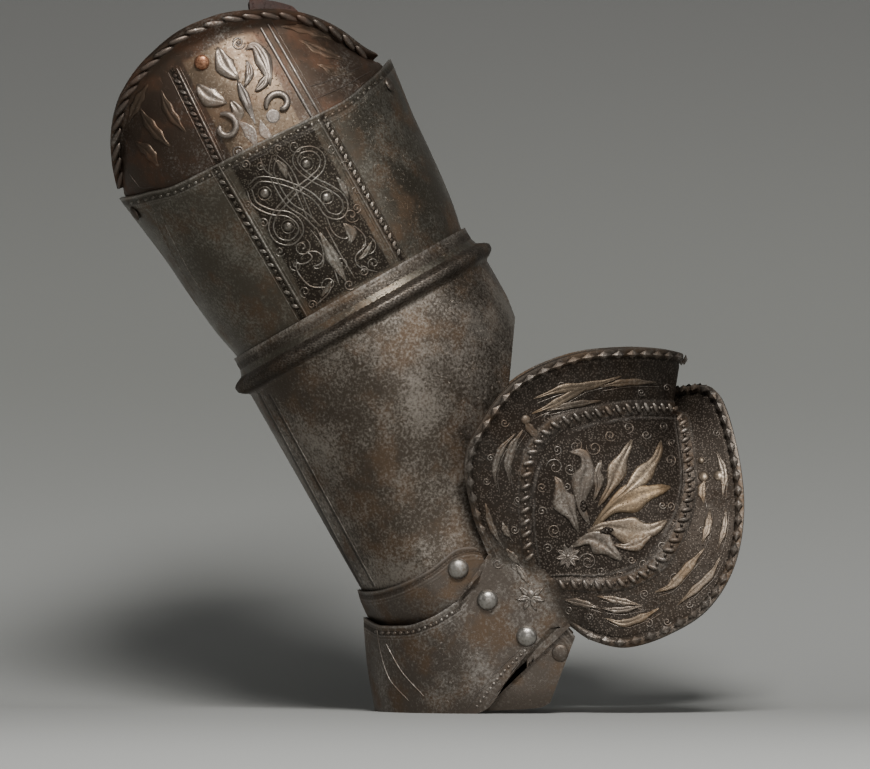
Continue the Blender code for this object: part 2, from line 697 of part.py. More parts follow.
def build_side_hinges(pivot, cannon, lame):
    """Rivets that hang the top lame in the mouth of the upper cannon."""
    for word, angle, height in hinge_places():
        radius = float(upper_radius(height))
        seat = ring_place(np.array(angle), radius, np.array(height))
        facing = upper_normal(angle)
        grip = 2.0 * PLATE + LAME_INSIDE_GAP + 2.0 * RIVET_GAP + 1.33 * HINGE_LIFT
        rivet(
            f"lame_hinge_{word}", seat + facing * HINGE_LIFT, facing, grip, "steel", pivot,
            size=(SMALL_HEAD_RADIUS, SMALL_HEAD_RISE), washer=SMALL_HEAD_RADIUS,
        )
        reach = HOLE_REACH / 2.0 * facing
        hole = rod_cutter(f"hinge_hole_{word}", seat + reach, seat - reach, SHANK_RADIUS + RIVET_GAP)
        cut(cannon, hole)
        cut(lame, hole)


def hinge_line():
    """Ends of the top lame's axis, between the plates at its two rivets."""
    ends = []
    for _, angle, height in hinge_places():
        radius = float(upper_radius(height)) - PLATE - 0.5 * LAME_INSIDE_GAP
        ends.append(ring_place(np.array(angle), radius, np.array(height)))
    return ends


def y_axis_cutter(name, place):
    reach = WING_HALF_WIDTH
    start, end = (place[0], -reach, place[1]), (place[0], reach, place[1])
    return rod_cutter(name, start, end, SHANK_RADIUS + RIVET_GAP)


def build_elbow():
    at_cannon = (CANNON_PIVOT[0], 0.0, CANNON_PIVOT[1])
    at_lame = (LAME_PIVOT[0], 0.0, LAME_PIVOT[1])
    at_forearm = (FOREARM_PIVOT[0], 0.0, FOREARM_PIVOT[1])
    lower_cannon = build_lower_cannon(at_cannon, front_cutter())
    upper_lame = build_turned_lame(
        "upper_lame", UPPER_LAME_EDGES, CANNON_PIVOT, LAME_REACH, FLAT_RADIUS, at_lame
    )
    lower_lame = build_turned_lame(
        "lower_lame", LOWER_LAME_EDGES, FOREARM_PIVOT, LOWER_LAME_REACH, LOWER_FLAT_RADIUS, at_forearm
    )
    couter = build_couter((0.0, 0.0, 0.0))
    holes = {
        "cannon_pivot_hole": (CANNON_PIVOT, (lower_cannon, upper_lame)),
        "lame_pivot_hole": (LAME_PIVOT, (upper_lame, couter)),
        "forearm_pivot_hole": (FOREARM_PIVOT, (lower_lame, couter)),
        "forearm_rivet_hole": (FOREARM_RIVET, (lower_lame,)),
    }
    for name, (place, targets) in holes.items():
        cutter = y_axis_cutter(name, place)
        for target in targets:
            cut(target, cutter)
    width = lame_half_width()
    middle, _, front, half_width = lower_section(-ELBOW_LENGTH)
    lean = (WASHER_RADIUS - PIVOT_SET_BACK - middle) / front
    cannon_inside = half_width * math.sqrt(1.0 - lean * lean) - PLATE
    side_rivets(CANNON_PIVOT, "cannon_rivet", width, cannon_inside, at_lame)
    reach = far(LAME_PIVOT, CANNON_PIVOT, WASHER_RADIUS)
    lame_inside = turned_depth(reach, LAME_REACH, FLAT_RADIUS, width) - PLATE - RIVET_GAP
    side_rivets(LAME_PIVOT, "lame_rivet", COUTER_HALF_WIDTH, float(lame_inside), (0.0, 0.0, 0.0))
    side_rivets(FOREARM_PIVOT, "forearm_rivet", COUTER_HALF_WIDTH, width - PLATE, (0.0, 0.0, 0.0))
    reach = far(FOREARM_RIVET, FOREARM_PIVOT, 0.0)
    seat = float(turned_depth(reach, LOWER_LAME_REACH, LOWER_FLAT_RADIUS, width))
    reach = far(FOREARM_RIVET, FOREARM_PIVOT, WASHER_RADIUS)
    inside = float(turned_depth(reach, LOWER_LAME_REACH, LOWER_FLAT_RADIUS, width)) - PLATE - RIVET_GAP
    side_rivets(
        FOREARM_RIVET, "flush_rivet", seat, inside, at_forearm, slot="steel",
        size=(FLUSH_HEAD_RADIUS, FLUSH_HEAD_RISE),
    )


def build_upper_arm():
    at_collar = tuple(COLLAR)
    back, front = hinge_line()
    at_hinge = tuple((back + front) / 2.0)
    cannon = build_upper_cannon(at_collar)
    lame = build_top_lame(at_hinge)
    build_side_hinges(at_collar, cannon, lame)
    leather = build_leather(at_hinge)
    add_boss(at_hinge, lame, leather)


def add_boss(pivot, lame, leather):
    """The copper rivet on the top lame that holds the leather behind it."""
    angle = np.array((BOSS_ANGLE,))
    edge = float(upper_edge(angle)[0])
    rim = float(lame_rim(angle)[0])
    height = rim - BOSS_DROP
    out = math.sin(math.radians(BOSS_ANGLE))
    lean = read_table(LAME_SECTION, (height - edge) / (rim - edge))[0, 0]
    inside = float(upper_radius(np.array(edge))) - PLATE - LAME_INSIDE_GAP
    seat = ring_place(angle, inside - LAME_LEAN * out * lean, height)[0]
    facing = upper_normal(BOSS_ANGLE)
    to_neck = LAME_LEAN * out * (1.0 - lean)
    grip = to_neck + BOSS_LIFT + PLATE + LEATHER_GAP + LEATHER_THICKNESS + 2.0 * RIVET_GAP
    rivet(
        "lame_boss", seat + facing * BOSS_LIFT, facing, grip, "copper", pivot,
        size=(SMALL_HEAD_RADIUS, HEAD_RISE - SMALL_HEAD_RISE), washer=SMALL_HEAD_RADIUS,
    )
    reach = HOLE_REACH * facing
    hole = rod_cutter("boss_hole", seat + reach, seat - reach, SHANK_RADIUS + RIVET_GAP)
    cut(lame, hole)
    cut(leather, hole)


def stand_in_the_middle():
    """Moves everything so that the origin is under the middle of the part."""
    bpy.context.view_layer.update()
    solids = [item for item in bpy.data.objects if not item.hide_render]
    corners = np.array([item.matrix_world @ vertex.co for item in solids for vertex in item.data.vertices])
    middle = (corners.min(axis=0) + corners.max(axis=0)) / 2.0
    for item in bpy.data.objects:
        item.location -= Vector((middle[0], middle[1], 0.0))


clear_scene()
build_elbow()
build_upper_arm()
stand_in_the_middle()
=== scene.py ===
import math
import bpy
import bmesh
import numpy as np
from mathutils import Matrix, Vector
from mathutils.bvhtree import BVHTree


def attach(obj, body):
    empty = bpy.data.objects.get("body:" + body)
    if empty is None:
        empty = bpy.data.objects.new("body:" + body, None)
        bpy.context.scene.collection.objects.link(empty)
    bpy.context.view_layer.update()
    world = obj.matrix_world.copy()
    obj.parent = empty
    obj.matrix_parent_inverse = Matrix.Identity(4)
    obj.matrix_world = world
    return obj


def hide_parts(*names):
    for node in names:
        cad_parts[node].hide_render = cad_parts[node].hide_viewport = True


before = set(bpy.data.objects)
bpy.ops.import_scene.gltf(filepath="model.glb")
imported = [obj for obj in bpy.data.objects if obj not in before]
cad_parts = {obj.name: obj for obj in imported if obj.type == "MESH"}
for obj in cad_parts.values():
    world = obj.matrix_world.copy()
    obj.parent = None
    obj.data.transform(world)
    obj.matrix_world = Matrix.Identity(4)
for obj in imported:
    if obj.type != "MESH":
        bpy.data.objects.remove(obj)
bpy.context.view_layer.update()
print("stage: frame loaded")

mm = 0.001
floorShift = np.array((1.339, 0.13, 0.0))  # sets the part's middle over the origin, in mm
plateWall = 1.3
slideGap = 0.7
turnGap = 0.5
# the first mark paints crests bright: partly worn steel, partly a painted highlight
markWords = ("raised", "gilt", "ground")  # what a finish reads from a piece's points
sharpAngle = math.radians(50.0)


def linked(name, data):
    holder = bpy.data.objects.new(name, data)
    bpy.context.collection.objects.link(holder)
    return holder


# camera and the photograph's frame

cameraView = {
    "target": (3.7, 0.0, 155.0),  # mm
    "distance": 8000.0,
    "elevation": 0.3,  # degrees above the floor
    "lens": 697.2,
    "sensor": 36.0,
    "reach": 20.0,  # m
}


def cameraPlace():
    lift = math.radians(cameraView["elevation"])
    back = np.array((0.0, -math.cos(lift), math.sin(lift)))
    return np.array(cameraView["target"]) + cameraView["distance"] * back, back


def addCamera():
    place, back = cameraPlace()
    lens = bpy.data.cameras.new("camera")
    lens.lens = cameraView["lens"]
    lens.sensor_width = cameraView["sensor"]
    lens.sensor_fit = "HORIZONTAL"
    lens.clip_end = cameraView["reach"]
    holder = linked("camera", lens)
    holder.location = Vector(place * mm)
    holder.rotation_euler = Vector(-back).to_track_quat("-Z", "Y").to_euler()
    bpy.context.scene.camera = holder


# numbers and curves

def unit(vectors):
    return vectors / np.maximum(np.linalg.norm(vectors, axis=-1, keepdims=True), 1e-9)


def ease(value):
    held = np.clip(value, 0.0, 1.0)
    return held * held * (3.0 - 2.0 * held)


def levelSlopes(rows):
    steps = np.diff(rows[:, 1:], axis=0) / np.diff(rows[:, 0])[:, None]
    before, after = steps[:-1], steps[1:]
    sameWay = before * after > 0.0
    total = np.where(sameWay, before + after, 1.0)
    inner = np.where(sameWay, 2.0 * before * after / total, 0.0)
    return np.concatenate((steps[:1], inner, steps[-1:]))


def readTable(table, at, free=False):
    rows = np.array(table, dtype=float)
    slopes = np.gradient(rows[:, 1:], rows[:, 0], axis=0) if free else levelSlopes(rows)
    at = np.clip(np.atleast_1d(at), rows[0, 0], rows[-1, 0])
    index = np.clip(np.searchsorted(rows[:, 0], at, side="right") - 1, 0, len(rows) - 2)
    span = (rows[index + 1, 0] - rows[index, 0])[:, None]
    t = (at - rows[index, 0])[:, None] / span
    start, end = rows[index, 1:], rows[index + 1, 1:]
    rise, runOut = slopes[index] * span, slopes[index + 1] * span
    return (
        start * (2 * t**3 - 3 * t**2 + 1) + rise * (t**3 - 2 * t**2 + t)
        + end * (3 * t**2 - 2 * t**3) + runOut * (t**3 - t**2)
    )


def through(keys, steps):  # a smooth curve through keys
    keys = np.asarray(keys, dtype=float)
    places = np.arange(len(keys), dtype=float)
    wanted = np.linspace(0.0, len(keys) - 1.0, steps * (len(keys) - 1) + 1)
    flat = keys.reshape(len(keys), -1)
    read = readTable(np.column_stack((places, flat)), wanted, free=True)
    return read.reshape((len(wanted),) + keys.shape[1:])


def lengthsAlong(line):
    return np.concatenate(((0.0,), np.cumsum(np.linalg.norm(np.diff(line, axis=0), axis=1))))


def sampled(at, lengths, line):
    return np.stack([np.interp(at, lengths, column) for column in line.T], axis=-1)


def roundRise(distance, middle, halfWidth):  # a half round over a distance, 1 at its crest
    return np.sqrt(np.clip(1.0 - ((distance - middle) / halfWidth) ** 2, 0.0, 1.0))


def outward(skin, closed):  # normals of a grid whose rows run down
    if closed:
        along = np.roll(skin, -1, axis=0) - np.roll(skin, 1, axis=0)
    else:
        along = np.gradient(skin, axis=0)
    return unit(np.cross(np.gradient(skin, axis=1), along))


# pieces

def finishPiece(piece, body, replaced=()):
    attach(piece, body)
    if replaced:
        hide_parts(*replaced)
    return piece


def linkMesh(name, mesh, finish):
    mesh.materials.append(finish)
    return linked(name, mesh)


def newMesh(name, points, faces=(), edges=()):  # points in mm
    mesh = bpy.data.meshes.new(name)
    mesh.from_pydata((np.asarray(points) * mm).tolist(), list(edges), list(faces))
    return mesh


def addLayer(mesh, word, values, kind="FLOAT"):
    layer = mesh.attributes.new(word, kind, "POINT")
    flat = np.ascontiguousarray(values, dtype=np.float32).reshape(-1)
    layer.data.foreach_set("value" if kind == "FLOAT" else "vector", flat)


def addMarks(mesh, values):
    for word, column in zip(markWords, np.asarray(values, dtype=np.float32).T):
        addLayer(mesh, word, column)


def markValues(looks):
    return [looks.get(word, 0.0) for word in markWords]


def smoothMesh(mesh):
    mesh.shade_smooth()
    mesh.set_sharp_from_angle(angle=sharpAngle)


def gridFaces(corner, across, down, turn):  # corner gives the number of the point in a column and row
    c, r = np.meshgrid(np.arange(across), np.arange(down), indexing="ij")
    return np.stack([corner(c + i, r + j) for i, j in turn], axis=-1).reshape(-1, 4).tolist()


outTurn = ((0, 0), (0, 1), (1, 1), (1, 0))
inTurn = ((0, 0), (1, 0), (1, 1), (0, 1))


def addPlate(name, outside, inside, closed, marks, finish, stride=4):
    # A plate with a fine outer skin and an inner skin that takes every few points
    columns, rows = outside.shape[:2]
    innerColumns = np.arange(0, columns if closed else columns - 1, stride)
    if not closed:
        innerColumns = np.append(innerColumns, columns - 1)
    innerRows = np.append(np.arange(0, rows - 1, stride), rows - 1)
    inner = inside[innerColumns][:, innerRows]
    across, down = inner.shape[:2]
    base = columns * rows

    def outerAt(c, r):
        return (c % columns) * rows + r

    def innerAt(c, r):
        return base + (c % across) * down + r

    spans = across if closed else across - 1
    faces = gridFaces(outerAt, columns if closed else columns - 1, rows - 1, outTurn)
    faces += gridFaces(innerAt, spans, down - 1, inTurn)
    for i in range(spans):
        last = innerColumns[i + 1] if i + 1 < across else columns
        run = list(range(innerColumns[i], last + 1))
        faces.append([outerAt(k, 0) for k in run] + [innerAt(i + 1, 0), innerAt(i, 0)])
        faces.append([outerAt(k, rows - 1) for k in run[::-1]] + [innerAt(i, down - 1), innerAt(i + 1, down - 1)])
    if not closed:
        for i in range(down - 1):
            run = list(range(innerRows[i], innerRows[i + 1] + 1))
            faces.append([outerAt(0, k) for k in run[::-1]] + [innerAt(0, i), innerAt(0, i + 1)])
            faces.append([outerAt(columns - 1, k) for k in run] + [innerAt(across - 1, i + 1), innerAt(across - 1, i)])
    mesh = newMesh(name, np.concatenate((outside.reshape(-1, 3), inner.reshape(-1, 3))), faces)
    for word, values in marks.items():
        full = np.zeros(len(mesh.vertices), dtype=np.float32)
        full[:base] = np.asarray(values, dtype=np.float32).reshape(-1)
        addLayer(mesh, word, full)
    mesh.update()
    smoothMesh(mesh)
    return linkMesh(name, mesh, finish)


# finishes

def newNode(tree, kind, **settings):
    node = tree.nodes.new(kind)
    for word, value in settings.items():
        setattr(node, word, value)
    return node


def mathNode(tree, operation, a, b=None, clamp=False):
    node = newNode(tree, "ShaderNodeMath", operation=operation, use_clamp=clamp)
    for socket, value in zip(node.inputs, (a, b)):
        if value is None:
            continue
        if isinstance(value, (int, float)):
            socket.default_value = value
        else:
            tree.links.new(value, socket)
    return node.outputs[0]


def rangeNode(tree, value, low, high, newLow=0.0, newHigh=1.0):
    node = newNode(tree, "ShaderNodeMapRange", interpolation_type="SMOOTHSTEP")
    tree.links.new(value, node.inputs["Value"])
    for word, number in (("From Min", low), ("From Max", high), ("To Min", newLow), ("To Max", newHigh)):
        node.inputs[word].default_value = number
    return node.outputs["Result"]


def mixColour(tree, share, first, second):
    node = newNode(tree, "ShaderNodeMix", data_type="RGBA")
    sockets = [s for s in node.inputs if s.type == "RGBA"]
    tree.links.new(share, node.inputs[0])
    for socket, value in zip(sockets, (first, second)):
        if isinstance(value, tuple):
            socket.default_value = (*value, 1.0)
        else:
            tree.links.new(value, socket)
    return [s for s in node.outputs if s.type == "RGBA"][0]


def newTree(name, kind, inputs, outputs):  # inputs as name, kind and resting value
    tree = bpy.data.node_groups.new(name, kind)
    for word, socketKind, value in inputs:
        socket = tree.interface.new_socket(name=word, in_out="INPUT", socket_type="NodeSocket" + socketKind)
        if value is not None:
            socket.default_value = value
    for word, socketKind in outputs:
        tree.interface.new_socket(name=word, in_out="OUTPUT", socket_type="NodeSocket" + socketKind)
    return tree, newNode(tree, "NodeGroupInput"), newNode(tree, "NodeGroupOutput")


def makePatina():  # speckle, stain and pit masks that every iron finish shares
    group, start, end = newTree(
        "ironPatina", "ShaderNodeTree",
        (
            ("Speckle Scale", "Float", 420.0), ("Patch Scale", "Float", 26.0),
            ("Bare Share", "Float", 0.5), ("Place", "Vector", None),
        ),
        [(word, "Float") for word in ("Bare", "Stain", "Pits", "Grain", "Dots")],
    )

    def noise(scale, detail, rough, offset):
        shifted = newNode(group, "ShaderNodeVectorMath", operation="ADD")
        group.links.new(start.outputs["Place"], shifted.inputs[0])
        shifted.inputs[1].default_value = offset
        node = newNode(group, "ShaderNodeTexNoise")
        group.links.new(shifted.outputs[0], node.inputs["Vector"])
        node.inputs["Detail"].default_value = detail
        node.inputs["Roughness"].default_value = rough
        if isinstance(scale, float):
            node.inputs["Scale"].default_value = scale
        else:
            group.links.new(scale, node.inputs["Scale"])
        return node.outputs["Fac"]

    patch = noise(start.outputs["Patch Scale"], 6.0, 0.62, (0.0, 0.0, 0.0))
    speckle = noise(start.outputs["Speckle Scale"], 5.0, 0.7, (0.3, 0.1, 0.2))
    stain = noise(58.0, 5.0, 0.6, (0.7, 0.4, 0.9))
    grain = noise(1500.0, 2.0, 0.6, (0.1, 0.8, 0.5))
    pits = noise(700.0, 4.0, 0.75, (0.9, 0.2, 0.6))
    both = mathNode(
        group, "ADD", mathNode(group, "MULTIPLY", patch, 0.45), mathNode(group, "MULTIPLY", speckle, 0.55)
    )
    dots = newNode(group, "ShaderNodeTexVoronoi")
    dots.inputs["Scale"].default_value = 900.0
    group.links.new(start.outputs["Place"], dots.inputs["Vector"])
    group.links.new(rangeNode(group, dots.outputs["Distance"], 0.50, 0.22), end.inputs["Dots"])
    lift = mathNode(group, "SUBTRACT", start.outputs["Bare Share"], 0.5)
    lifted = mathNode(group, "ADD", both, mathNode(group, "MULTIPLY", lift, 0.5))
    group.links.new(rangeNode(group, lifted, 0.44, 0.62), end.inputs["Bare"])
    group.links.new(rangeNode(group, stain, 0.44, 0.66), end.inputs["Stain"])
    group.links.new(rangeNode(group, pits, 0.56, 0.72), end.inputs["Pits"])
    group.links.new(grain, end.inputs["Grain"])
    return group


patina = makePatina()


wearShares = {
    "least": 0.30, "stainRough": 0.16, "groundRough": 0.14, "raisedShine": 0.14,
    "grain": 0.25, "depth": 0.0002,  # depth in m
}


def plateFinish(name, look):
    finish = bpy.data.materials.new(name)
    finish.use_nodes = True
    tree = finish.node_tree
    shader = tree.nodes["Principled BSDF"]
    place = newNode(tree, "ShaderNodeTexCoord").outputs["Object"]
    wear = newNode(tree, "ShaderNodeGroup", node_tree=patina)
    tree.links.new(place, wear.inputs["Place"])
    wear.inputs["Bare Share"].default_value = look["bareShare"]
    wear.inputs["Speckle Scale"].default_value = look["speckleScale"]
    wear.inputs["Patch Scale"].default_value = look["patchScale"]

    def mark(word):
        return newNode(tree, "ShaderNodeAttribute", attribute_name=word).outputs["Fac"]

    # crests and gilding are worn unevenly; the crests' bright colour is worn steel and a painted highlight
    wearAndSheen = rangeNode(tree, wear.outputs["Bare"], 0.0, 1.0, wearShares["least"], 1.0)
    raised, gilt = (mathNode(tree, "MULTIPLY", mark(word), wearAndSheen) for word in ("raised", "gilt"))
    ground = mark("ground")
    colour = mixColour(tree, wear.outputs["Stain"], look["dark"], look["brown"])
    colour = mixColour(tree, wear.outputs["Bare"], colour, look["bare"])
    punched = mixColour(tree, wear.outputs["Dots"], look["ground"], look["dark"])
    colour = mixColour(tree, ground, colour, punched)
    colour = mixColour(tree, gilt, colour, look["gold"])
    # crests painted bright: worn steel and a painted highlight
    colour = mixColour(tree, raised, colour, look["wearAndSheen"])
    tree.links.new(colour, shader.inputs["Base Color"])
    shader.inputs["Metallic"].default_value = look["metallic"]
    stained = mathNode(tree, "MULTIPLY", wear.outputs["Stain"], wearShares["stainRough"])
    rough = mathNode(tree, "ADD", look["roughness"], stained)
    rough = mathNode(tree, "ADD", rough, mathNode(tree, "MULTIPLY", ground, wearShares["groundRough"]))
    shine = mathNode(tree, "MULTIPLY", raised, wearShares["raisedShine"])
    rough = mathNode(tree, "SUBTRACT", rough, shine, clamp=True)
    tree.links.new(rough, shader.inputs["Roughness"])
    grain = mathNode(tree, "MULTIPLY", wear.outputs["Grain"], wearShares["grain"])
    height = mathNode(tree, "SUBTRACT", grain, wear.outputs["Pits"])
    height = mathNode(tree, "ADD", height, mathNode(tree, "MULTIPLY", wear.outputs["Dots"], ground))
    bump = newNode(tree, "ShaderNodeBump")
    bump.inputs["Strength"].default_value = look["bump"]
    bump.inputs["Distance"].default_value = wearShares["depth"]
    tree.links.new(height, bump.inputs["Height"])
    tree.links.new(bump.outputs["Normal"], shader.inputs["Normal"])
    return finish


steelLook = {
    "dark": (0.105, 0.086, 0.070), "brown": (0.135, 0.092, 0.060), "bare": (0.27, 0.245, 0.215),
    # the last colour here is the crest colour: worn steel and a painted highlight
    "ground": (0.026, 0.020, 0.015), "gold": (0.44, 0.29, 0.14), "wearAndSheen": (0.62, 0.57, 0.52),
    "bareShare": 0.5, "speckleScale": 800.0, "patchScale": 34.0,
    "metallic": 0.85, "roughness": 0.44, "bump": 0.6,
}
couterFinish = plateFinish("couterFinish", dict(steelLook, bareShare=0.44))
topLameFinish = plateFinish("topLameFinish", dict(
    steelLook, dark=(0.085, 0.060, 0.044), brown=(0.13, 0.072, 0.046), bareShare=0.36,
))
upperCannonFinish = plateFinish("upperCannonFinish", dict(
    steelLook, bareShare=0.44, dark=(0.10, 0.086, 0.066), bare=(0.23, 0.215, 0.18), roughness=0.36,
))
lowerCannonFinish = plateFinish("lowerCannonFinish", dict(
    steelLook, bareShare=0.50, patchScale=30.0,
    dark=(0.085, 0.068, 0.052), bare=(0.30, 0.265, 0.225), roughness=0.38,
))
lameFinish = plateFinish("lameFinish", dict(steelLook, bareShare=0.40, bare=(0.22, 0.20, 0.175)))
rivetFinish = plateFinish("rivetFinish", dict(
    steelLook, dark=(0.20, 0.185, 0.165), brown=(0.24, 0.20, 0.16), bare=(0.36, 0.34, 0.31),
    bareShare=0.6, roughness=0.30, bump=0.25,
))
copperFinish = plateFinish("copperFinish", dict(
    steelLook, dark=(0.20, 0.085, 0.045), brown=(0.16, 0.06, 0.035), bare=(0.46, 0.24, 0.14), roughness=0.40,
))
leatherFinish = plateFinish("leatherFinish", dict(
    steelLook, dark=(0.030, 0.014, 0.010), brown=(0.060, 0.022, 0.014), bare=(0.075, 0.032, 0.022),
    metallic=0.0, roughness=0.62, bump=1.0,
))
print("stage: finishes made")


# cannon places

tilt = math.radians(29.6)
upAxis = np.array((-math.sin(tilt), 0.0, math.cos(tilt)))
foreAxis = np.array((upAxis[2], 0.0, -upAxis[0]))
cannonPivot = (13.3, 68.4)
lamePivot = (27.1, 53.7)
forearmPivot = (45.6, 36.6)
forearmRivet = (61.4, 28.6)
elbowLength = 138.5
pivotSetBack = 19.3
acrossAxis = np.array((0.0, 1.0, 0.0))
elbow = np.array((cannonPivot[0], 0.0, cannonPivot[1]))
collar = elbow + elbowLength * upAxis + pivotSetBack * foreAxis + floorShift
collarRadius = 63.0
collarDepth = 8.0
ridgeWidth = 10.6
upperLength = 93.0


def cannonPlace(fore, across, height):
    fore, across, height = np.broadcast_arrays(fore, across, height)
    return collar + fore[..., None] * foreAxis + across[..., None] * acrossAxis + height[..., None] * upAxis


def ringPlace(angles, radius, height):  # the angle starts at the back and passes the outer side
    turn = np.radians(angles)
    return cannonPlace(-radius * np.cos(turn), -radius * np.sin(turn), height)


def flatMarks(shape):
    return {word: np.zeros(shape) for word in markWords}


# ornament, drawn in the photograph's pixels and raised along the plate's normals

pixel = 0.475  # mm
footAt = (430.0, 709.0)  # the pixel where footX meets the floor
footX = 1.34
rayStart = 150.0
offCanvas = -9999.0
leafSink = 0.15  # mm that the rim of a leaf goes into its plate
wireShown = 0.9  # mm of radius above which a wire is lifted off its plate


def pictureAt(points):
    return np.stack((footAt[0] + (points[..., 0] - footX) / pixel, footAt[1] - points[..., 2] / pixel), axis=-1)


def newCanvas(skin, allowed=None):
    at = pictureAt(skin).reshape(-1, 2)
    if allowed is not None:
        at = np.where(allowed.reshape(-1, 1), at, offCanvas)
    canvas = {"at": at, "shape": skin.shape[:2]}
    for word in ("height", *markWords):
        canvas[word] = np.zeros(len(at))
    return canvas


def canvasMarks(canvas):
    return {word: np.clip(canvas[word], 0.0, 1.0).reshape(canvas["shape"]) for word in markWords}


def curved(keys, steps=6):
    return through(np.array(keys, dtype=float), steps) if len(keys) > 2 else np.array(keys, dtype=float)


def spiralPath(centre, radius, turns, start, inward=0.25):
    t = np.linspace(0.0, 1.0, int(14 * abs(turns)) + 6)
    angle = math.radians(start) + 2.0 * math.pi * turns * t
    reach = radius * (1.0 - (1.0 - inward) * t)
    return np.stack((centre[0] + reach * np.cos(angle), centre[1] + reach * np.sin(angle)), axis=-1)


def nearPath(at, path, reach):  # the points within reach of a path, and how far off they are
    low, high = path.min(axis=0) - reach, path.max(axis=0) + reach
    index = np.flatnonzero(((at > low) & (at < high)).all(axis=1))
    spots = at[index]
    best = np.full(len(index), 1e9)
    for first, step in zip(path[:-1], np.diff(path, axis=0)):
        length = np.linalg.norm(step)
        t = np.clip((spots - first) @ step / max(length * length, 1e-9), 0.0, 1.0)
        best = np.minimum(best, np.linalg.norm(spots - first - t[:, None] * step, axis=1))
    return index, best


def raiseMarks(canvas, index, share, height, looks):
    canvas["height"][index] += height
    for word, value in looks.items():
        canvas[word][index] = np.maximum(canvas[word][index], share * value)


def fadeMarks(canvas, share):  # takes away what is drawn where share is 1
    for word in ("height", *markWords):
        canvas[word] *= 1.0 - share.ravel()


def drawLine(canvas, keys, width, height, **looks):
    index, distance = nearPath(canvas["at"], curved(keys), width + 1.0)
    share = ease(1.0 - distance / width)
    raiseMarks(canvas, index, share, height * share, looks)


# a bare number as looks is the crest colour's share: worn steel and a painted highlight
def drawAtDistance(canvas, distance, lines, kept=1.0):  # lines run beside an edge: place, half width, height, looks
    for at, width, height, looks in lines:
        share = (ease(1.0 - np.abs(distance - at) / width) * kept).ravel()
        raiseMarks(canvas, slice(None), share, height * share, looks if isinstance(looks, dict) else {"raised": looks})


def raisedSkin(skin, normal, canvas):
    return skin + normal * canvas["height"].reshape(skin.shape[:2])[..., None]


# relief laid on a plate: leaves as small curved shells, lines and scrolls as swept wires

def surfaceOf(skin, closed):
    columns, rows = skin.shape[:2]
    faces = gridFaces(lambda c, r: (c % columns) * rows + r, columns if closed else columns - 1, rows - 1, outTurn)
    return BVHTree.FromPolygons(skin.reshape(-1, 3).tolist(), faces)


def newRelief(skin, closed):
    lists = {word: [] for word in ("points", "faces", "marks", "wires")}
    return {"surface": surfaceOf(skin, closed), "sides": (-1.0,), **lists}


def onSurface(relief, at, side):  # place and outward normal under each point of the picture
    places, normals = [], []
    for across, down in at:
        begin = Vector(((across - footAt[0]) * pixel + footX, side * rayStart, (footAt[1] - down) * pixel))
        place, normal, _, _ = relief["surface"].ray_cast(begin, Vector((0.0, -side, 0.0)))
        if place is None:
            return None
        places.append(place)
        normals.append(normal if normal.y * side > 0.0 else -normal)
    return np.array(places), np.array(normals)


def layWire(relief, keys, thick, steps=6, **looks):
    path = curved(keys, steps) if len(keys) < 12 else np.array(keys)
    for side in relief["sides"]:
        found = onSurface(relief, path, side)
        if found is not None:
            relief["wires"].append((found[0] + found[1] * max(0.0, thick - wireShown), thick, looks))


def layScroll(relief, centre, radius, turns, start, thick, **looks):
    layWire(relief, spiralPath(centre, radius, turns, start), thick, **looks)
    angle = math.radians(start) + 2.0 * math.pi * turns
    tip = (centre[0] + 0.2 * radius * math.cos(angle), centre[1] + 0.2 * radius * math.sin(angle))
    layBoss(relief, tip, 1.5 * thick / pixel, thick, **looks)


def layShell(relief, at, heights, looks):  # a grid of picture points raised by its heights
    rows, columns = heights.shape
    for side in relief["sides"]:
        found = onSurface(relief, at.reshape(-1, 2), side)
        if found is None:
            continue
        if "roomFor" in relief:
            heights = np.minimum(heights, relief["roomFor"](found[0]).reshape(heights.shape))
        base = sum(len(block) for block in relief["points"])
        relief["points"].append(found[0] + found[1] * heights.reshape(-1, 1))
        relief["marks"].append(markValues(looks))
        for r in range(rows - 1):
            for c in range(columns - 1):
                first = base + r * columns + c
                face = (first, first + 1, first + columns + 1, first + columns)
                relief["faces"].append(face if side < 0.0 else face[::-1])


def layLeaf(relief, spine, width, height, ribs=3.0, lobes=0.0, fullAt=0.5, steps=22, **looks):
    path = through(np.array(spine, dtype=float), 12) if len(spine) > 2 else np.linspace(spine[0], spine[1], 9)
    lengths = lengthsAlong(path)
    t = np.linspace(0.0, 1.0, steps)
    line = sampled(t * lengths[-1], lengths, path)
    run = unit(np.gradient(line, axis=0))
    aside = np.stack((-run[:, 1], run[:, 0]), axis=-1)
    rise = np.where(t < fullAt, t / fullAt, (1.0 - t) / (1.0 - fullAt))
    waves = 1.0 + 0.20 * np.cos(2.0 * math.pi * lobes * t) * (lobes > 0.0)
    reach = width * np.clip(rise, 0.03, 1.0) ** 0.75 * waves
    across = np.array((-1.0, -0.92, -0.72, -0.45, -0.2, 0.0, 0.2, 0.45, 0.72, 0.92, 1.0))
    at = line[:, None] + across[None, :, None] * reach[:, None, None] * aside[:, None]
    body = 0.40 + 0.60 * np.sqrt(1.0 - across**2) - 0.40 * np.exp(-((across / 0.16) ** 2))
    ripple = 0.12 * np.cos(2.0 * math.pi * (ribs * np.abs(across)[None, :] + 1.2 * t[:, None]))
    heights = height * (body[None, :] + ripple) * ease(np.minimum(t, 1.0 - t) / 0.10)[:, None]
    heights[:, (0, -1)] = -leafSink
    layShell(relief, at, np.maximum(heights, -leafSink), looks)


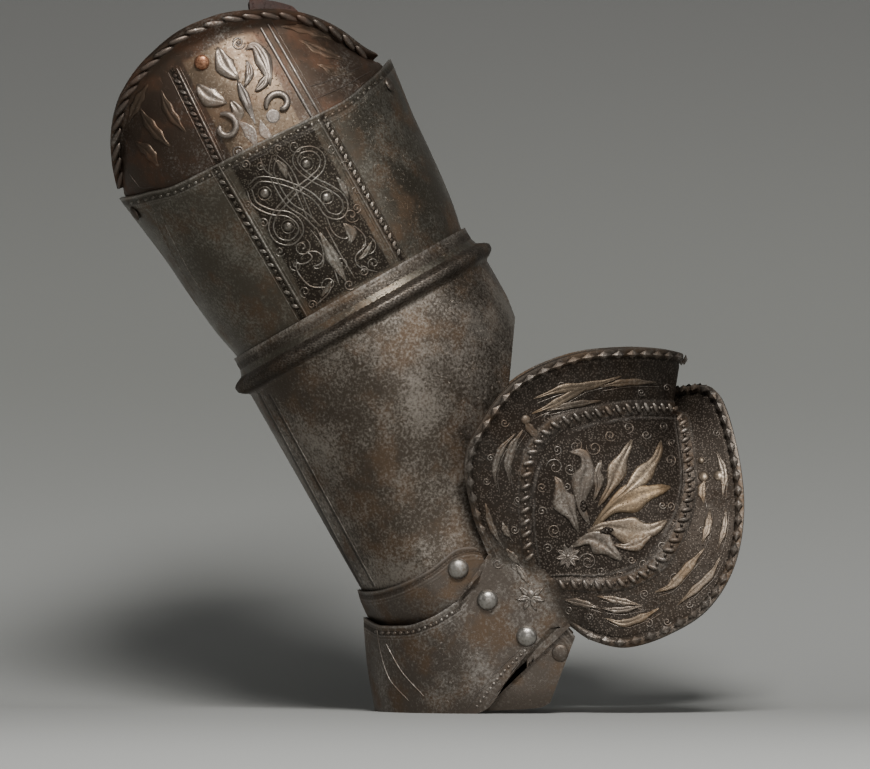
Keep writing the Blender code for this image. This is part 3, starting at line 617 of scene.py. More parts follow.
def layBoss(relief, centre, radius, height, **looks):
    turn = np.linspace(0.0, 2.0 * math.pi, 13)[None, :]
    reach = np.array((1.0, 0.92, 0.72, 0.42, 0.05))[:, None]
    at = np.stack((centre[0] - radius * reach * np.cos(turn), centre[1] + radius * reach * np.sin(turn)), axis=-1)
    heights = height * np.sqrt(1.0 - reach**2 * 0.999) + 0.0 * turn
    heights[0] = -leafSink
    layShell(relief, at, heights, looks)


def layBeads(relief, path, pitch, radius, height, **looks):  # a row of beads along a path in the picture
    lengths = lengthsAlong(path)
    for at in np.arange(0.5 * pitch, lengths[-1], pitch):
        layBoss(relief, sampled(at, lengths, path), radius, height, **looks)


def pointValue(tree, word, kind):
    node = newNode(tree, "GeometryNodeInputNamedAttribute", data_type=kind)
    node.inputs["Name"].default_value = word
    return node.outputs["Attribute"]


def dressResult(tree, start, end, grown):
    real = newNode(tree, "GeometryNodeRealizeInstances")
    tree.links.new(grown, real.inputs[0])
    dressed = newNode(tree, "GeometryNodeSetMaterial")
    tree.links.new(real.outputs[0], dressed.inputs["Geometry"])
    tree.links.new(start.outputs["Finish"], dressed.inputs["Material"])
    tree.links.new(dressed.outputs[0], end.inputs[0])


def makeWireTree():  # sweeps a round wire along every chain of edges
    tree, start, end = newTree(
        "sweepWires", "GeometryNodeTree",
        (("Geometry", "Geometry", None), ("Sides", "Int", 6), ("Finish", "Material", None)),
        (("Geometry", "Geometry"),),
    )
    chain = newNode(tree, "GeometryNodeMeshToCurve")
    tree.links.new(start.outputs["Geometry"], chain.inputs["Mesh"])
    thick = pointValue(tree, "thick", "FLOAT")
    sized = newNode(tree, "GeometryNodeSetCurveRadius")
    tree.links.new(chain.outputs[0], sized.inputs["Curve"])
    tree.links.new(thick, sized.inputs["Radius"])
    ring = newNode(tree, "GeometryNodeCurvePrimitiveCircle", mode="RADIUS")
    ring.inputs["Radius"].default_value = 1.0
    tree.links.new(start.outputs["Sides"], ring.inputs["Resolution"])
    swept = newNode(tree, "GeometryNodeCurveToMesh")
    tree.links.new(sized.outputs[0], swept.inputs["Curve"])
    tree.links.new(ring.outputs[0], swept.inputs["Profile Curve"])
    swept.inputs["Fill Caps"].default_value = True
    if "Scale" in swept.inputs:
        tree.links.new(thick, swept.inputs["Scale"])
    dressResult(tree, start, end, swept.outputs[0])
    return tree


def socketId(tree, word):
    return next(item.identifier for item in tree.interface.items_tree if item.name == word and item.in_out == "INPUT")


def grownMesh(name, mesh, tree, inputs):  # runs a node tree on a mesh and keeps the plain result
    carrier = linked(name + "_carrier", mesh)
    step = carrier.modifiers.new("grow", "NODES")
    step.node_group = tree
    for word, value in inputs.items():
        step[socketId(tree, word)] = value
    bpy.context.view_layer.update()
    plain = bpy.data.meshes.new_from_object(carrier.evaluated_get(bpy.context.evaluated_depsgraph_get()))
    plain.name = name
    carrier.modifiers.clear()
    bpy.data.objects.remove(carrier, do_unlink=True)
    plain.materials.clear()
    return plain


wireTree = makeWireTree()


def finishRelief(relief, name, body, finish):
    if relief["points"]:
        mesh = newMesh(name + "_leaves", np.concatenate(relief["points"]), relief["faces"])
        marks = [np.tile(mark, (len(points), 1)) for mark, points in zip(relief["marks"], relief["points"])]
        addMarks(mesh, np.concatenate(marks))
        mesh.shade_smooth()
        finishPiece(linkMesh(name + "_leaves", mesh, finish), body)
    points, edges, thick, marks = [], [], [], []
    for path, radius, looks in relief["wires"]:
        edges += [(len(points) + i, len(points) + i + 1) for i in range(len(path) - 1)]
        points += list(path)
        ends = np.minimum(np.arange(len(path)), np.arange(len(path))[::-1])
        thick += (radius * mm * (0.45 + 0.55 * ease((ends + 0.5) / 2.5))).tolist()
        marks += [markValues(looks)] * len(path)
    mesh = newMesh(name + "_paths", points, edges=edges)
    addLayer(mesh, "thick", thick)
    addMarks(mesh, marks)
    plain = grownMesh(name + "_lines", mesh, wireTree, {"Sides": 6, "Finish": finish})
    plain.shade_smooth()
    finishPiece(linkMesh(name + "_lines", plain, finish), body)


# upper cannon

upperCannon = {
    "columns": 480,
    "rows": 150,
    "mouthRadius": 72.8,
    "flangeRadius": 66.0,
    "flare": ((0.0, 0.0), (0.17, 0.26), (0.40, 0.46), (0.62, 0.60), (0.81, 0.80), (1.0, 1.0)),
    "edge": (
        (0, 1.0), (32, 0.955), (50, 0.91), (90, 0.885), (125, 0.86), (145, 0.89),
        (180, 0.935), (225, 0.88), (270, 0.84), (315, 0.90),
    ),
}


def upperRadius(height):
    foot = collarRadius - plateWall - turnGap
    share = readTable(upperCannon["flare"], np.ravel(height) / upperLength)[:, 0].reshape(np.shape(height))
    return foot + (upperCannon["mouthRadius"] - foot) * share


def upperEdge(angles):
    table = [(angle + turn, share) for turn in (-360.0, 0.0, 360.0) for angle, share in upperCannon["edge"]]
    return upperLength * readTable(table, np.ravel(angles))[:, 0].reshape(np.shape(angles))


upperBand = {
    "field": ((271.0, 143.0), (352.0, 287.0)),
    "fieldHalf": 45.0,
    "left": ((220.9, 165.3), (308.0, 314.5)),
    "right": ((319.6, 119.4), (397.7, 259.4)),
    "eyes": ((266.0, 192.6), (307.7, 163.3), (327.6, 196.4), (289.3, 225.5)),
    "straps": (
        (
            (250.8, 188.8), (256.7, 203.1), (273.3, 211.2), (288.6, 213.0), (299.5, 220.7), (301.8, 230.9),
            (292.4, 241.1), (278.9, 238.5),
            (272.5, 227.0), (275.8, 214.3), (286.0, 201.5), (298.8, 188.8), (311.5, 178.6), (321.7, 168.6),
            (323.0, 156.9), (314.0, 148.7),
            (301.3, 150.5), (296.2, 159.4), (301.3, 168.9), (314.0, 178.6), (332.0, 187.5), (343.4, 196.4),
            (346.0, 207.9), (339.6, 215.6),
            (328.0, 213.0), (321.7, 204.0), (311.5, 193.9), (293.7, 185.0), (275.8, 179.8), (260.5, 178.8),
            (251.6, 186.2),
        ),
        ((275.8, 155.6), (273.3, 173.5), (288.6, 201.5), (305.0, 213.0), (320.0, 227.0)),
        ((276.5, 156.0), (291.0, 170.5), (304.0, 201.0), (313.0, 222.0)),
    ),
    "lines": (
        ((297.5, 257.7), (298.8, 270.4), (311.5, 284.4), (329.4, 285.7)),
        ((311.5, 228.3), (323.0, 244.9), (323.0, 260.2), (314.0, 265.3)),
        ((326.8, 214.3), (334.5, 232.0), (347.2, 237.2), (354.9, 224.5)),
        ((317.0, 226.0), (330.0, 252.6), (340.0, 283.2)),
        ((354.9, 224.5), (365.0, 234.7), (365.0, 244.9), (356.2, 255.0), (360.0, 265.3), (377.9, 270.4)),
        ((326.5, 226.0), (341.0, 252.6), (355.0, 276.0)),
        ((262.0, 158.0), (266.0, 169.0), (275.0, 176.0)),
        ((296.0, 262.0), (306.0, 262.0), (313.0, 256.0), (308.0, 250.0)),
        ((316.0, 304.0), (328.0, 293.0), (332.0, 286.0)),
    ),
    "scrolls": (
        ((303.0, 246.0), 9.0, 1.3, -60.0), ((316.0, 262.0), 15.0, 0.75, 200.0), ((330.0, 283.0), 9.0, 1.1, 90.0),
        ((367.0, 246.0), 11.0, 0.9, -80.0), ((352.0, 214.0), 8.0, 1.2, 30.0), ((374.0, 262.0), 6.0, 1.1, 140.0),
        ((296.0, 146.0), 7.0, 1.2, 0.0), ((262.0, 165.0), 5.0, 1.2, 0.0), ((357.0, 190.0), 5.0, 1.2, 120.0),
        ((247.0, 164.0), 5.0, -1.2, 40.0), ((280.0, 148.0), 4.5, 1.2, 90.0), ((333.0, 150.0), 6.0, -1.2, 0.0),
        ((346.0, 166.0), 6.0, 1.2, 200.0),
        ((357.0, 207.0), 5.0, -1.2, 90.0), ((281.0, 250.0), 5.5, 1.2, 20.0),
        ((297.0, 264.0), 6.0, -1.2, 180.0), ((306.0, 290.0), 6.0, 1.2, 90.0),
        ((341.0, 262.0), 7.0, -1.2, 60.0), ((350.0, 283.0), 6.0, 1.2, 10.0), ((313.0, 303.0), 5.0, -1.2, 30.0),
        ((364.0, 270.0), 5.5, 1.2, 250.0),
        ((265.0, 222.0), 5.5, 1.2, 170.0), ((249.0, 204.0), 4.5, -1.2, 80.0),
    ),
    "leaves": (
        ((321.0, 231.0), (331.0, 252.0), (347.0, 280.0), 7.0), ((344.0, 222.0), (352.0, 232.0), (350.0, 243.0), 6.5),
        ((322.0, 296.0), (327.0, 288.0), (333.0, 279.0), 3.0), ((358.0, 259.0), (366.0, 252.0), (372.0, 240.0), 3.0),
        ((337.0, 176.0), (344.0, 186.0), (349.0, 198.0), 4.0), ((277.0, 159.0), (284.0, 167.0), (288.0, 178.0), 5.0),
    ),
    "flankLines": (
        ((161.0, 203.0), (166.0, 222.0), (186.0, 262.0), (204.0, 292.0)),
        ((372.0, 86.0), (398.0, 116.0), (432.0, 150.0)),
        ((155.0, 206.0), (160.0, 226.0), (180.0, 266.0), (198.0, 296.0)),
        ((377.0, 82.0), (403.0, 112.0), (437.0, 146.0)),
    ),
}


border = {
    # brightness is the crest colour's share: worn steel and a painted highlight
    "lines": ((0.0, 0.60, 0.50), (-9.6, 0.34, 0.22), (3.2, 0.26, 0.12)),  # pixels aside, thickness, brightness
    "middle": 5.0,  # pixels aside of the ovals and strokes
    "oval": (2.0, 0.35),
    "lean": (3.0, 2.6),  # half of a stroke along the border and aside
    "stroke": (2.0, 0.75),
    "tint": (5.4, -0.18, 1.4),
}


def layBorder(relief, ends, inward, dashPitch):  # ridge lines with slanted strokes between dark ovals
    first, last = np.array(ends[0]), np.array(ends[1])
    run = unit(last - first)
    aside = np.array((-run[1], run[0])) * inward
    steps = np.linspace(0.0, 1.0, 13)[:, None]
    for away, thick, raised in border["lines"]:
        layWire(relief, first + aside * away + (last - first) * steps, thick, raised=raised)
    for step in range(int(np.linalg.norm(last - first) / dashPitch)):
        middle = first + run * dashPitch * (step + 0.5) - aside * border["middle"]
        layBoss(relief, middle, *border["oval"], raised=0.12, ground=0.5)
        other = middle + run * dashPitch * 0.5
        tilted = run * border["lean"][0] + aside * border["lean"][1]
        layLeaf(relief, (other - tilted, other + tilted), *border["stroke"], ribs=0.0, steps=6, raised=0.5)


def shadeBand(canvas, ends, halfWidth, **looks):  # an even tint between two borders
    first, last = np.array(ends, dtype=float)
    run = last - first
    apart = canvas["at"] - first
    t = apart @ run / (run @ run)
    side = np.abs(apart[:, 0] * run[1] - apart[:, 1] * run[0]) / np.linalg.norm(run)
    share = ease((halfWidth - side) / 1.5 + 0.5) * ease((t + 0.02) / 0.04) * ease((1.02 - t) / 0.04)
    raiseMarks(canvas, slice(None), share, 0.0, looks)


def shadeBorder(canvas, ends, inward):
    first, last = np.array(ends[0]), np.array(ends[1])
    run = unit(last - first)
    aside = np.array((-run[1], run[0])) * inward
    width, height, ground = border["tint"]
    middle = aside * border["middle"]
    drawLine(canvas, (first - middle, last - middle), width, height, ground=ground)


def layUpperBand(relief):
    size = upperBand
    layBorder(relief, size["left"], -1.0, 15.8)
    layBorder(relief, size["right"], 1.0, 9.0)
    for centre in size["eyes"]:
        layBoss(relief, centre, 4.6, 1.0, raised=0.32)
        layWire(relief, spiralPath(centre, 6.6, 1.0, 0.0, 1.0), 0.26, raised=0.2)
    for strap in size["straps"]:
        path = through(np.array(strap), 5)
        run = unit(np.gradient(path, axis=0))
        for aside in (-2.4, 2.4):
            layWire(relief, path + aside * np.stack((-run[:, 1], run[:, 0]), axis=-1), 0.42, raised=0.42)
    for keys in size["lines"]:
        layWire(relief, keys, 0.42, raised=0.45)
    for centre, radius, turns, start in size["scrolls"]:
        layScroll(relief, centre, radius, turns, start, 0.36, raised=0.32)
    for *spine, width in size["leaves"]:
        layLeaf(relief, spine, width, 0.8, ribs=2.0, raised=0.2)
    for keys in size["flankLines"]:
        layWire(relief, keys, 0.28, raised=0.3)


def buildUpperCannon():
    size = upperCannon
    angles = np.arange(size["columns"]) * 360.0 / size["columns"]
    edge = upperEdge(angles)
    bend = size["flangeRadius"] - collarRadius
    foot = collarRadius - plateWall - turnGap
    flangeTop = -collarDepth - 0.44 * ridgeWidth
    shares = np.linspace(1.0, 0.0, size["rows"])
    heights = turnGap + (edge[:, None] - turnGap) * shares[None, :]
    radii = upperRadius(heights)
    flange = ((foot, flangeTop + 0.3 * bend), (foot + 0.2 * bend, flangeTop), (size["flangeRadius"], flangeTop))
    for radius, height in flange:
        heights = np.column_stack((heights, np.full(len(angles), height)))
        radii = np.column_stack((radii, np.full(len(angles), radius)))
    skin = ringPlace(angles[:, None], radii, heights)
    normal = outward(skin, True)
    inside = skin - normal * plateWall
    canvas = newCanvas(skin, (skin[..., 1] < 0.0))
    shadeBand(canvas, upperBand["field"], upperBand["fieldHalf"], ground=0.95)
    shadeBorder(canvas, upperBand["left"], -1.0)
    shadeBorder(canvas, upperBand["right"], 1.0)
    relief = newRelief(skin, True)
    layUpperBand(relief)
    ring = np.linspace(14.0, 160.0, 120)
    ringHeight = upperEdge(ring) - 3.1
    layBeads(relief, pictureAt(ringPlace(ring, upperRadius(ringHeight), ringHeight)), 7.6, 1.6, 0.4, raised=0.3)
    finishRelief(relief, "upper_cannon", "upper_cannon", upperCannonFinish)
    below = (edge[:, None] - heights).ravel()  # mm under the top edge
    # bright lines under the top edge: worn steel and a painted highlight, with grooves between
    drawAtDistance(
        canvas, below, ((0.3, 0.9, 0.10, 0.75), (1.6, 0.6, -0.12, 0.0), (4.6, 0.5, 0.14, 0.35), (5.9, 0.5, 0.12, 0.25)),
        heights.ravel() > 8.0,
    )
    canvas["ground"] = np.maximum(canvas["ground"], 0.6 * ease((1.6 - np.abs(below - 3.0)) / 0.6))
    skin = raisedSkin(skin, normal, canvas)
    piece = addPlate("upper_cannon_plate", skin, inside, True, canvasMarks(canvas), upperCannonFinish)
    finishPiece(piece, "upper_cannon", ("upper_cannon",))


# lower cannon

lowerCannon = {
    "columns": 420,
    "rows": 190,
    "radius": 64.5,
    "ridgeRadius": 69.3,
    "elbowHalfWidth": 51.8,
    "elbowSetBack": 29.3,
    "ovalStart": 35.0,
    "ovalRun": 90.0,
    "taper": 2.5,
    "hem": 8.0,
    "cutTop": (40.2, 185.0),
    "cutFoot": (28.5, 62.0),
    "ridge": (
        (0.0, 0.0), (0.13, 0.22), (0.28, 0.72), (0.44, 1.0), (0.64, 0.96), (0.84, 0.62), (0.98, 0.27), (1.12, 0.24),
    ),
}


def lowerSection(height):
    size = lowerCannon
    toElbow = ease((-height - size["ovalStart"]) / size["ovalRun"])
    middle = -size["elbowSetBack"] * toElbow
    halfWidth = size["radius"] + (size["elbowHalfWidth"] - size["radius"]) * toElbow
    taper = size["taper"] * ease((-height - size["ovalStart"]) / (0.25 * size["ovalRun"]))
    return middle, size["radius"] + middle, size["radius"] - middle - taper, halfWidth


lowerBand = {
    "lines": (((259.0, 391.0), (361.0, 584.0)), ((269.9, 393.2), (373.9, 584.0))),
    "ticks": 24,
    "ropePitch": 3.1,  # mm between the engraved strokes of the ridge
    "ropeSlope": 1.35,
    "ropeFrom": 13.0,  # mm under the collar's edge
    "ropeRise": 0.20,
    "collarPitch": 2.4,
    "collarSlope": 1.2,
    "collarRise": 0.10,
}


def drawLowerBand(canvas, skin, depth, angles):
    for ends in lowerBand["lines"]:
        drawLine(canvas, ends, 1.6, -0.18, ground=0.8)
    size = lowerCannon
    down = np.broadcast_to(depth, skin.shape[:2]).ravel()
    around = np.broadcast_to(np.radians(angles) * size["ridgeRadius"], skin.shape[:2]).ravel()
    share = (down - collarDepth) / ridgeWidth
    onRidge = ease(share / 0.25) * ease((1.0 - share) / 0.25)
    twist = around + (down - lowerBand["ropeFrom"]) * lowerBand["ropeSlope"]
    strokes = np.cos(2.0 * math.pi * twist / lowerBand["ropePitch"])
    canvas["height"] += lowerBand["ropeRise"] * onRidge * strokes
    # painted highlight with wear along the ridge's crest, on the tops of the strokes
    crest = onRidge * ease(strokes) * ease(1.0 - np.abs(share - 0.5) / 0.3)
    canvas["raised"] = np.maximum(canvas["raised"], 0.22 * crest)
    # darkens the whole ridge, more in the troughs between the strokes
    canvas["ground"] = np.maximum(canvas["ground"], onRidge * (0.50 + 0.40 * ease(-strokes)))
    drawAtDistance(
        canvas, down, ((0.4, 0.7, 0.12, 0.6), (2.2, 0.5, -0.12, 0.0), (7.0, 0.8, -0.2, 0.0), (19.4, 0.9, -0.15, 0.0))
    )
    onCollar = ease((down - 2.6) / 0.6) * ease((6.6 - down) / 0.6)
    canvas["ground"] = np.maximum(canvas["ground"], 0.5 * onCollar)
    slant = around - down * lowerBand["collarSlope"]
    canvas["height"] += lowerBand["collarRise"] * onCollar * np.cos(2.0 * math.pi * slant / lowerBand["collarPitch"])


def buildLowerCannon():
    size = lowerCannon
    angles = np.arange(size["columns"]) * 360.0 / size["columns"]
    turn = np.radians(angles)[:, None]
    depth = np.linspace(0.0, elbowLength + size["hem"], size["rows"])[None, :]
    height = -depth
    middle, back, front, halfWidth = lowerSection(height)
    fore = middle - np.where(np.cos(turn) > 0.0, back, front) * np.cos(turn)
    body = cannonPlace(fore, -halfWidth * np.sin(turn), height + 0.0 * turn)
    rise = size["ridgeRadius"] - collarRadius
    ridge = readTable(size["ridge"], ((depth[0] - collarDepth) / ridgeWidth))[:, 0]
    onCollar = (depth[0] < collarDepth + size["ridge"][-1][0] * ridgeWidth)[None, :, None]
    skin = np.where(onCollar, ringPlace(np.degrees(turn), (collarRadius + rise * ridge)[None, :], height), body)
    normal = outward(skin, True)
    inside = skin - normal * plateWall
    canvas = newCanvas(skin)
    drawLowerBand(canvas, skin, depth, np.degrees(turn))
    relief = newRelief(skin, True)
    first, last = np.array(lowerBand["lines"][0])
    for ends in lowerBand["lines"]:
        layWire(relief, np.linspace(ends[0], ends[1], 16) + (1.8, -0.8), 0.26, raised=0.35)
    for step in range(lowerBand["ticks"]):
        middle = first + (last - first) * (step + 0.5) / float(lowerBand["ticks"]) + (5.6, 0.4)
        layLeaf(relief, (middle - (1.5, 3.0), middle + (1.5, 3.0)), 1.7, 0.3, ribs=0.0, steps=6, raised=0.3)
    finishRelief(relief, "lower_cannon", "lower_cannon", lowerCannonFinish)
    skin = raisedSkin(skin, normal, canvas)
    piece = addPlate("lower_cannon_plate", skin, inside, True, canvasMarks(canvas), lowerCannonFinish)
    trimFront(piece)
    finishPiece(piece, "lower_cannon", ("lower_cannon",))


def trimFront(piece):  # cuts the front off along the slanted line and closes the cut edge
    size = lowerCannon
    foot, top = np.array(size["cutFoot"]), np.array(size["cutTop"])
    slope = top - foot
    facing = Vector((slope[1], 0.0, -slope[0])).normalized()
    start = Vector((foot[0] + floorShift[0], 0.0, foot[1])) * mm
    work = bmesh.new()
    work.from_mesh(piece.data)
    everything = list(work.verts) + list(work.edges) + list(work.faces)
    bmesh.ops.bisect_plane(work, geom=everything, dist=1e-7, plane_co=start, plane_no=facing, clear_outer=True)
    rim = [edge for edge in work.edges if edge.is_boundary]
    bmesh.ops.holes_fill(work, edges=rim, sides=0)
    bmesh.ops.recalc_face_normals(work, faces=work.faces)
    work.to_mesh(piece.data)
    work.free()
    smoothMesh(piece.data)


# elbow lames

lames = {
    "columns": 16,  # steps from key to key
    "rows": 60,
    "halfWidth": lowerCannon["elbowHalfWidth"] + slideGap + plateWall,
    "upperReach": 49.0,
    "lowerReach": 73.56,
    "upperFlat": 14.0,
    "lowerFlat": 24.0,
    "upperEdges": (
        (0.190, 0.195, 0.470, -0.320), (0.110, 0.212, 0.380, -0.460), (-0.030, 0.185, 0.220, -0.530),
        (-0.150, 0.090, 0.040, -0.565), (-0.278, -0.010, -0.169, -0.620), (-0.520, -0.133, -0.373, -0.692),
        (-0.760, -0.215, -0.510, -0.742), (-0.905, -0.235, -0.590, -0.765), (-0.975, -0.222, -0.620, -0.785),
    ),
    "lowerEdges": (
        (0.312, -0.003, 0.150, -0.430), (0.220, 0.085, 0.090, -0.458), (0.060, 0.141, 0.000, -0.468),
        (-0.090, 0.110, -0.130, -0.475), (-0.220, 0.000, -0.290, -0.480), (-0.440, -0.110, -0.480, -0.484),
        (-0.680, -0.180, -0.660, -0.486), (-0.880, -0.218, -0.800, -0.487), (-0.974, -0.226, -0.873, -0.488),
    ),
}


def turnedDepth(reachFromPivot, reach, flat, halfWidth):
    pastFlat = np.clip((reachFromPivot - flat) / (reach - flat), 0.0, 1.0)
    return halfWidth * np.sqrt(1.0 - pastFlat**2)


def lameSkin(edges, centre, reach, flatRadius):
    keys = through(np.array(edges), lames["columns"])
    share = np.linspace(0.0, 1.0, lames["rows"])
    top, foot = keys[:, None, 0:2], keys[:, None, 2:4]
    flat = top + (foot - top) * share[None, :, None]
    straight = np.linalg.norm(flat, axis=-1)
    topReach = np.linalg.norm(top, axis=-1)
    alongArc = topReach + (np.linalg.norm(foot, axis=-1) - topReach) * share
    weight = (np.linspace(0.0, 1.0, len(keys)) ** 2)[:, None]
    radius = np.minimum(straight * (1.0 - weight) + alongArc * weight, 1.0)
    radius[-1] = 1.0
    place = flat / straight[..., None] * radius[..., None] * reach
    depth = turnedDepth(radius * reach, reach, flatRadius, lames["halfWidth"])
    outer = np.stack((centre[0] + place[..., 0], -depth, centre[1] + place[..., 1]), axis=-1)[::-1]
    inner = outer[:0:-1] * np.array((1.0, -1.0, 1.0))
    return np.concatenate((inner, outer)) + floorShift


def edgeDistances(skin):  # mm along each column from its top and from its foot
    steps = np.linalg.norm(np.diff(skin, axis=1), axis=-1)
    fromTop = np.concatenate((np.zeros((len(skin), 1)), np.cumsum(steps, axis=1)), axis=1)
    return fromTop, fromTop[:, -1:] - fromTop


def buildLame(name, edges, centre, reach, flatRadius, body):
    skin = lameSkin(edges, centre, reach, flatRadius)
    normal = outward(skin, False)
    inside = skin - normal * plateWall
    canvas = newCanvas(skin)
    fromTop, _ = edgeDistances(skin)
    # bright lines along the top edge: worn steel and a painted highlight, with darker grooves
    drawAtDistance(canvas, fromTop, (
        (0.5, 0.9, 0.10, {"raised": 0.6}), (2.2, 0.6, -0.14, {"ground": 0.8}), (4.4, 0.6, 0.16, {"raised": 0.4}),
        (3.3, 1.0, 0.0, {"ground": 0.5}), (6.0, 0.5, 0.12, {"raised": 0.25}),
    ))
    skin = raisedSkin(skin, normal, canvas)
    skin[..., 2] = np.maximum(skin[..., 2], 0.0)
    inside[..., 2] = np.maximum(inside[..., 2], 0.0)
    piece = addPlate(name + "_plate", skin, inside, False, canvasMarks(canvas), lameFinish)
    finishPiece(piece, body, (name,))


# couter

couter = {
    "cupColumns": 56,
    "sideColumns": 10,
    "wingSteps": 22,
    "rows": 151,
    "halfWidth": lames["halfWidth"] + slideGap + plateWall,
    "back": -31.56,
    "footSetIn": 5.5,
    "bulge": 1.1,
    "topCorner": 44.0,
    "footCorner": 58.0,
    "squeeze": 0.026,
    "wingReach": 121.3,
    "wingRise": 172.9,
    "wingHalfWidth": 70.0,
    "topEdge": (
        (-0.57, 0.80), (-0.42, 0.735), (-0.22, 0.74), (0.0, 0.81), (0.16, 0.905), (0.32, 1.025), (0.545, 1.225),
    ),
    "footEdge": (
        (-0.47, 0.0), (0.38, 0.0), (0.48, 0.04), (0.58, 0.16), (0.69, 0.36), (0.92, 0.60), (1.045, 0.775),
    ),
    "stations": (  # X and Z of the upper rim, upper rib, crease, lower rib and lower rim
        (0.00, 0.437, 0.175, 0.387, 0.200, 0.370, 0.230, 0.352, 0.325, 0.237),
        (-0.06, 0.550, 0.155, 0.463, 0.255, 0.416, 0.335, 0.355, 0.411, 0.200),
        (-0.09, 0.681, 0.145, 0.580, 0.325, 0.462, 0.450, 0.352, 0.537, 0.182),
        (-0.04, 0.780, 0.165, 0.700, 0.420, 0.526, 0.580, 0.372, 0.700, 0.217),
        (0.105, 0.908, 0.250, 0.783, 0.510, 0.584, 0.685, 0.428, 0.860, 0.290),
        (0.325, 0.979, 0.370, 0.812, 0.590, 0.645, 0.757, 0.520, 0.965, 0.415),
        (0.535, 0.997, 0.535, 0.832, 0.665, 0.723, 0.785, 0.619, 0.998, 0.578),
        (0.700, 0.992, 0.672, 0.833, 0.718, 0.782, 0.772, 0.746, 0.962, 0.759),
        (0.757, 0.979, 0.725, 0.831, 0.737, 0.805, 0.753, 0.803, 0.889, 0.882),
        (0.683, 0.963, 0.650, 0.842, 0.650, 0.818, 0.667, 0.813, 0.754, 0.886),
    ),
    "depths": (
        (0.825, 0.825, 0.820, 0.825, 0.815), (0.885, 0.840, 0.812, 0.840, 0.880), (0.957, 0.857, 0.814, 0.857, 0.950),
        (1.000, 0.864, 0.821, 0.864, 0.985), (0.986, 0.843, 0.800, 0.843, 0.971), (0.914, 0.771, 0.729, 0.757, 0.886),
        (0.743, 0.614, 0.586, 0.600, 0.714), (0.486, 0.400, 0.386, 0.400, 0.486), (0.257, 0.214, 0.200, 0.214, 0.257),
        (0.000, 0.000, 0.000, 0.000, 0.000),
    ),
}


def edgeHeight(edge, x):
    return couter["halfWidth"] * readTable(edge, x / couter["halfWidth"])[0, 0]


def copStation(turn, share):
    size = couter
    corner = size["topCorner"] + (size["footCorner"] - size["topCorner"]) * share
    back = size["back"] + size["footSetIn"] * share
    bulge = size["bulge"] * 4.0 * share * (1.0 - share)
    x = back + corner - (corner + bulge) * math.cos(turn)
    top, foot = edgeHeight(size["topEdge"], x[0]), edgeHeight(size["footEdge"], x[-1])
    return np.stack((x, np.full_like(x, -size["halfWidth"] * math.sin(turn)), top + (foot - top) * share), axis=-1)


def acrossStation(keys, share):
    places = np.array((0.0, 2.0, 3.0, 4.0, 6.0)) / 6.0
    smooth = readTable(np.column_stack((places, keys)), share)
    return 0.35 * smooth + 0.65 * sampled(share, places, keys)


def couterHalf(share):
    size = couter
    flat = np.array(size["stations"]).reshape(len(size["stations"]), 5, 2)
    x = lamePivot[0] + size["wingReach"] * flat[..., 0]
    y = -size["wingHalfWidth"] * np.array(size["depths"])
    y[0] = -size["halfWidth"]
    keys = np.stack((x, y, size["wingRise"] * flat[..., 1]), axis=-1)
    turns = np.radians(np.linspace(0.0, 90.0, size["cupColumns"], endpoint=False))
    cup = [copStation(turn, share) for turn in turns]
    last = copStation(math.radians(90.0), share)
    neck = acrossStation(keys[0], share)
    steps = np.linspace(0.0, 1.0, size["sideColumns"], endpoint=False)
    side = [last + (neck - last) * step for step in steps]
    for row in side:
        row[0, 2] = edgeHeight(size["topEdge"], row[0, 0])
        row[-1, 2] = edgeHeight(size["footEdge"], row[-1, 0])
    wing = [acrossStation(station, share) for station in through(keys, size["wingSteps"])]
    half = np.stack(cup + side + wing)
    half[..., 1] *= 1.0 - size["squeeze"] * ease((np.abs(half[..., 1]) - 56.0) / 10.0)  # leaves room for the beads
    half[0, :, 1] = 0.0
    half[-1, :, 1] = 0.0
    return half, len(cup) + len(side)


def mirroredLoop(outerHalf):
    innerHalf = outerHalf[-2:0:-1].copy()
    innerHalf[..., 1] *= -1.0
    return np.concatenate((outerHalf, innerHalf))


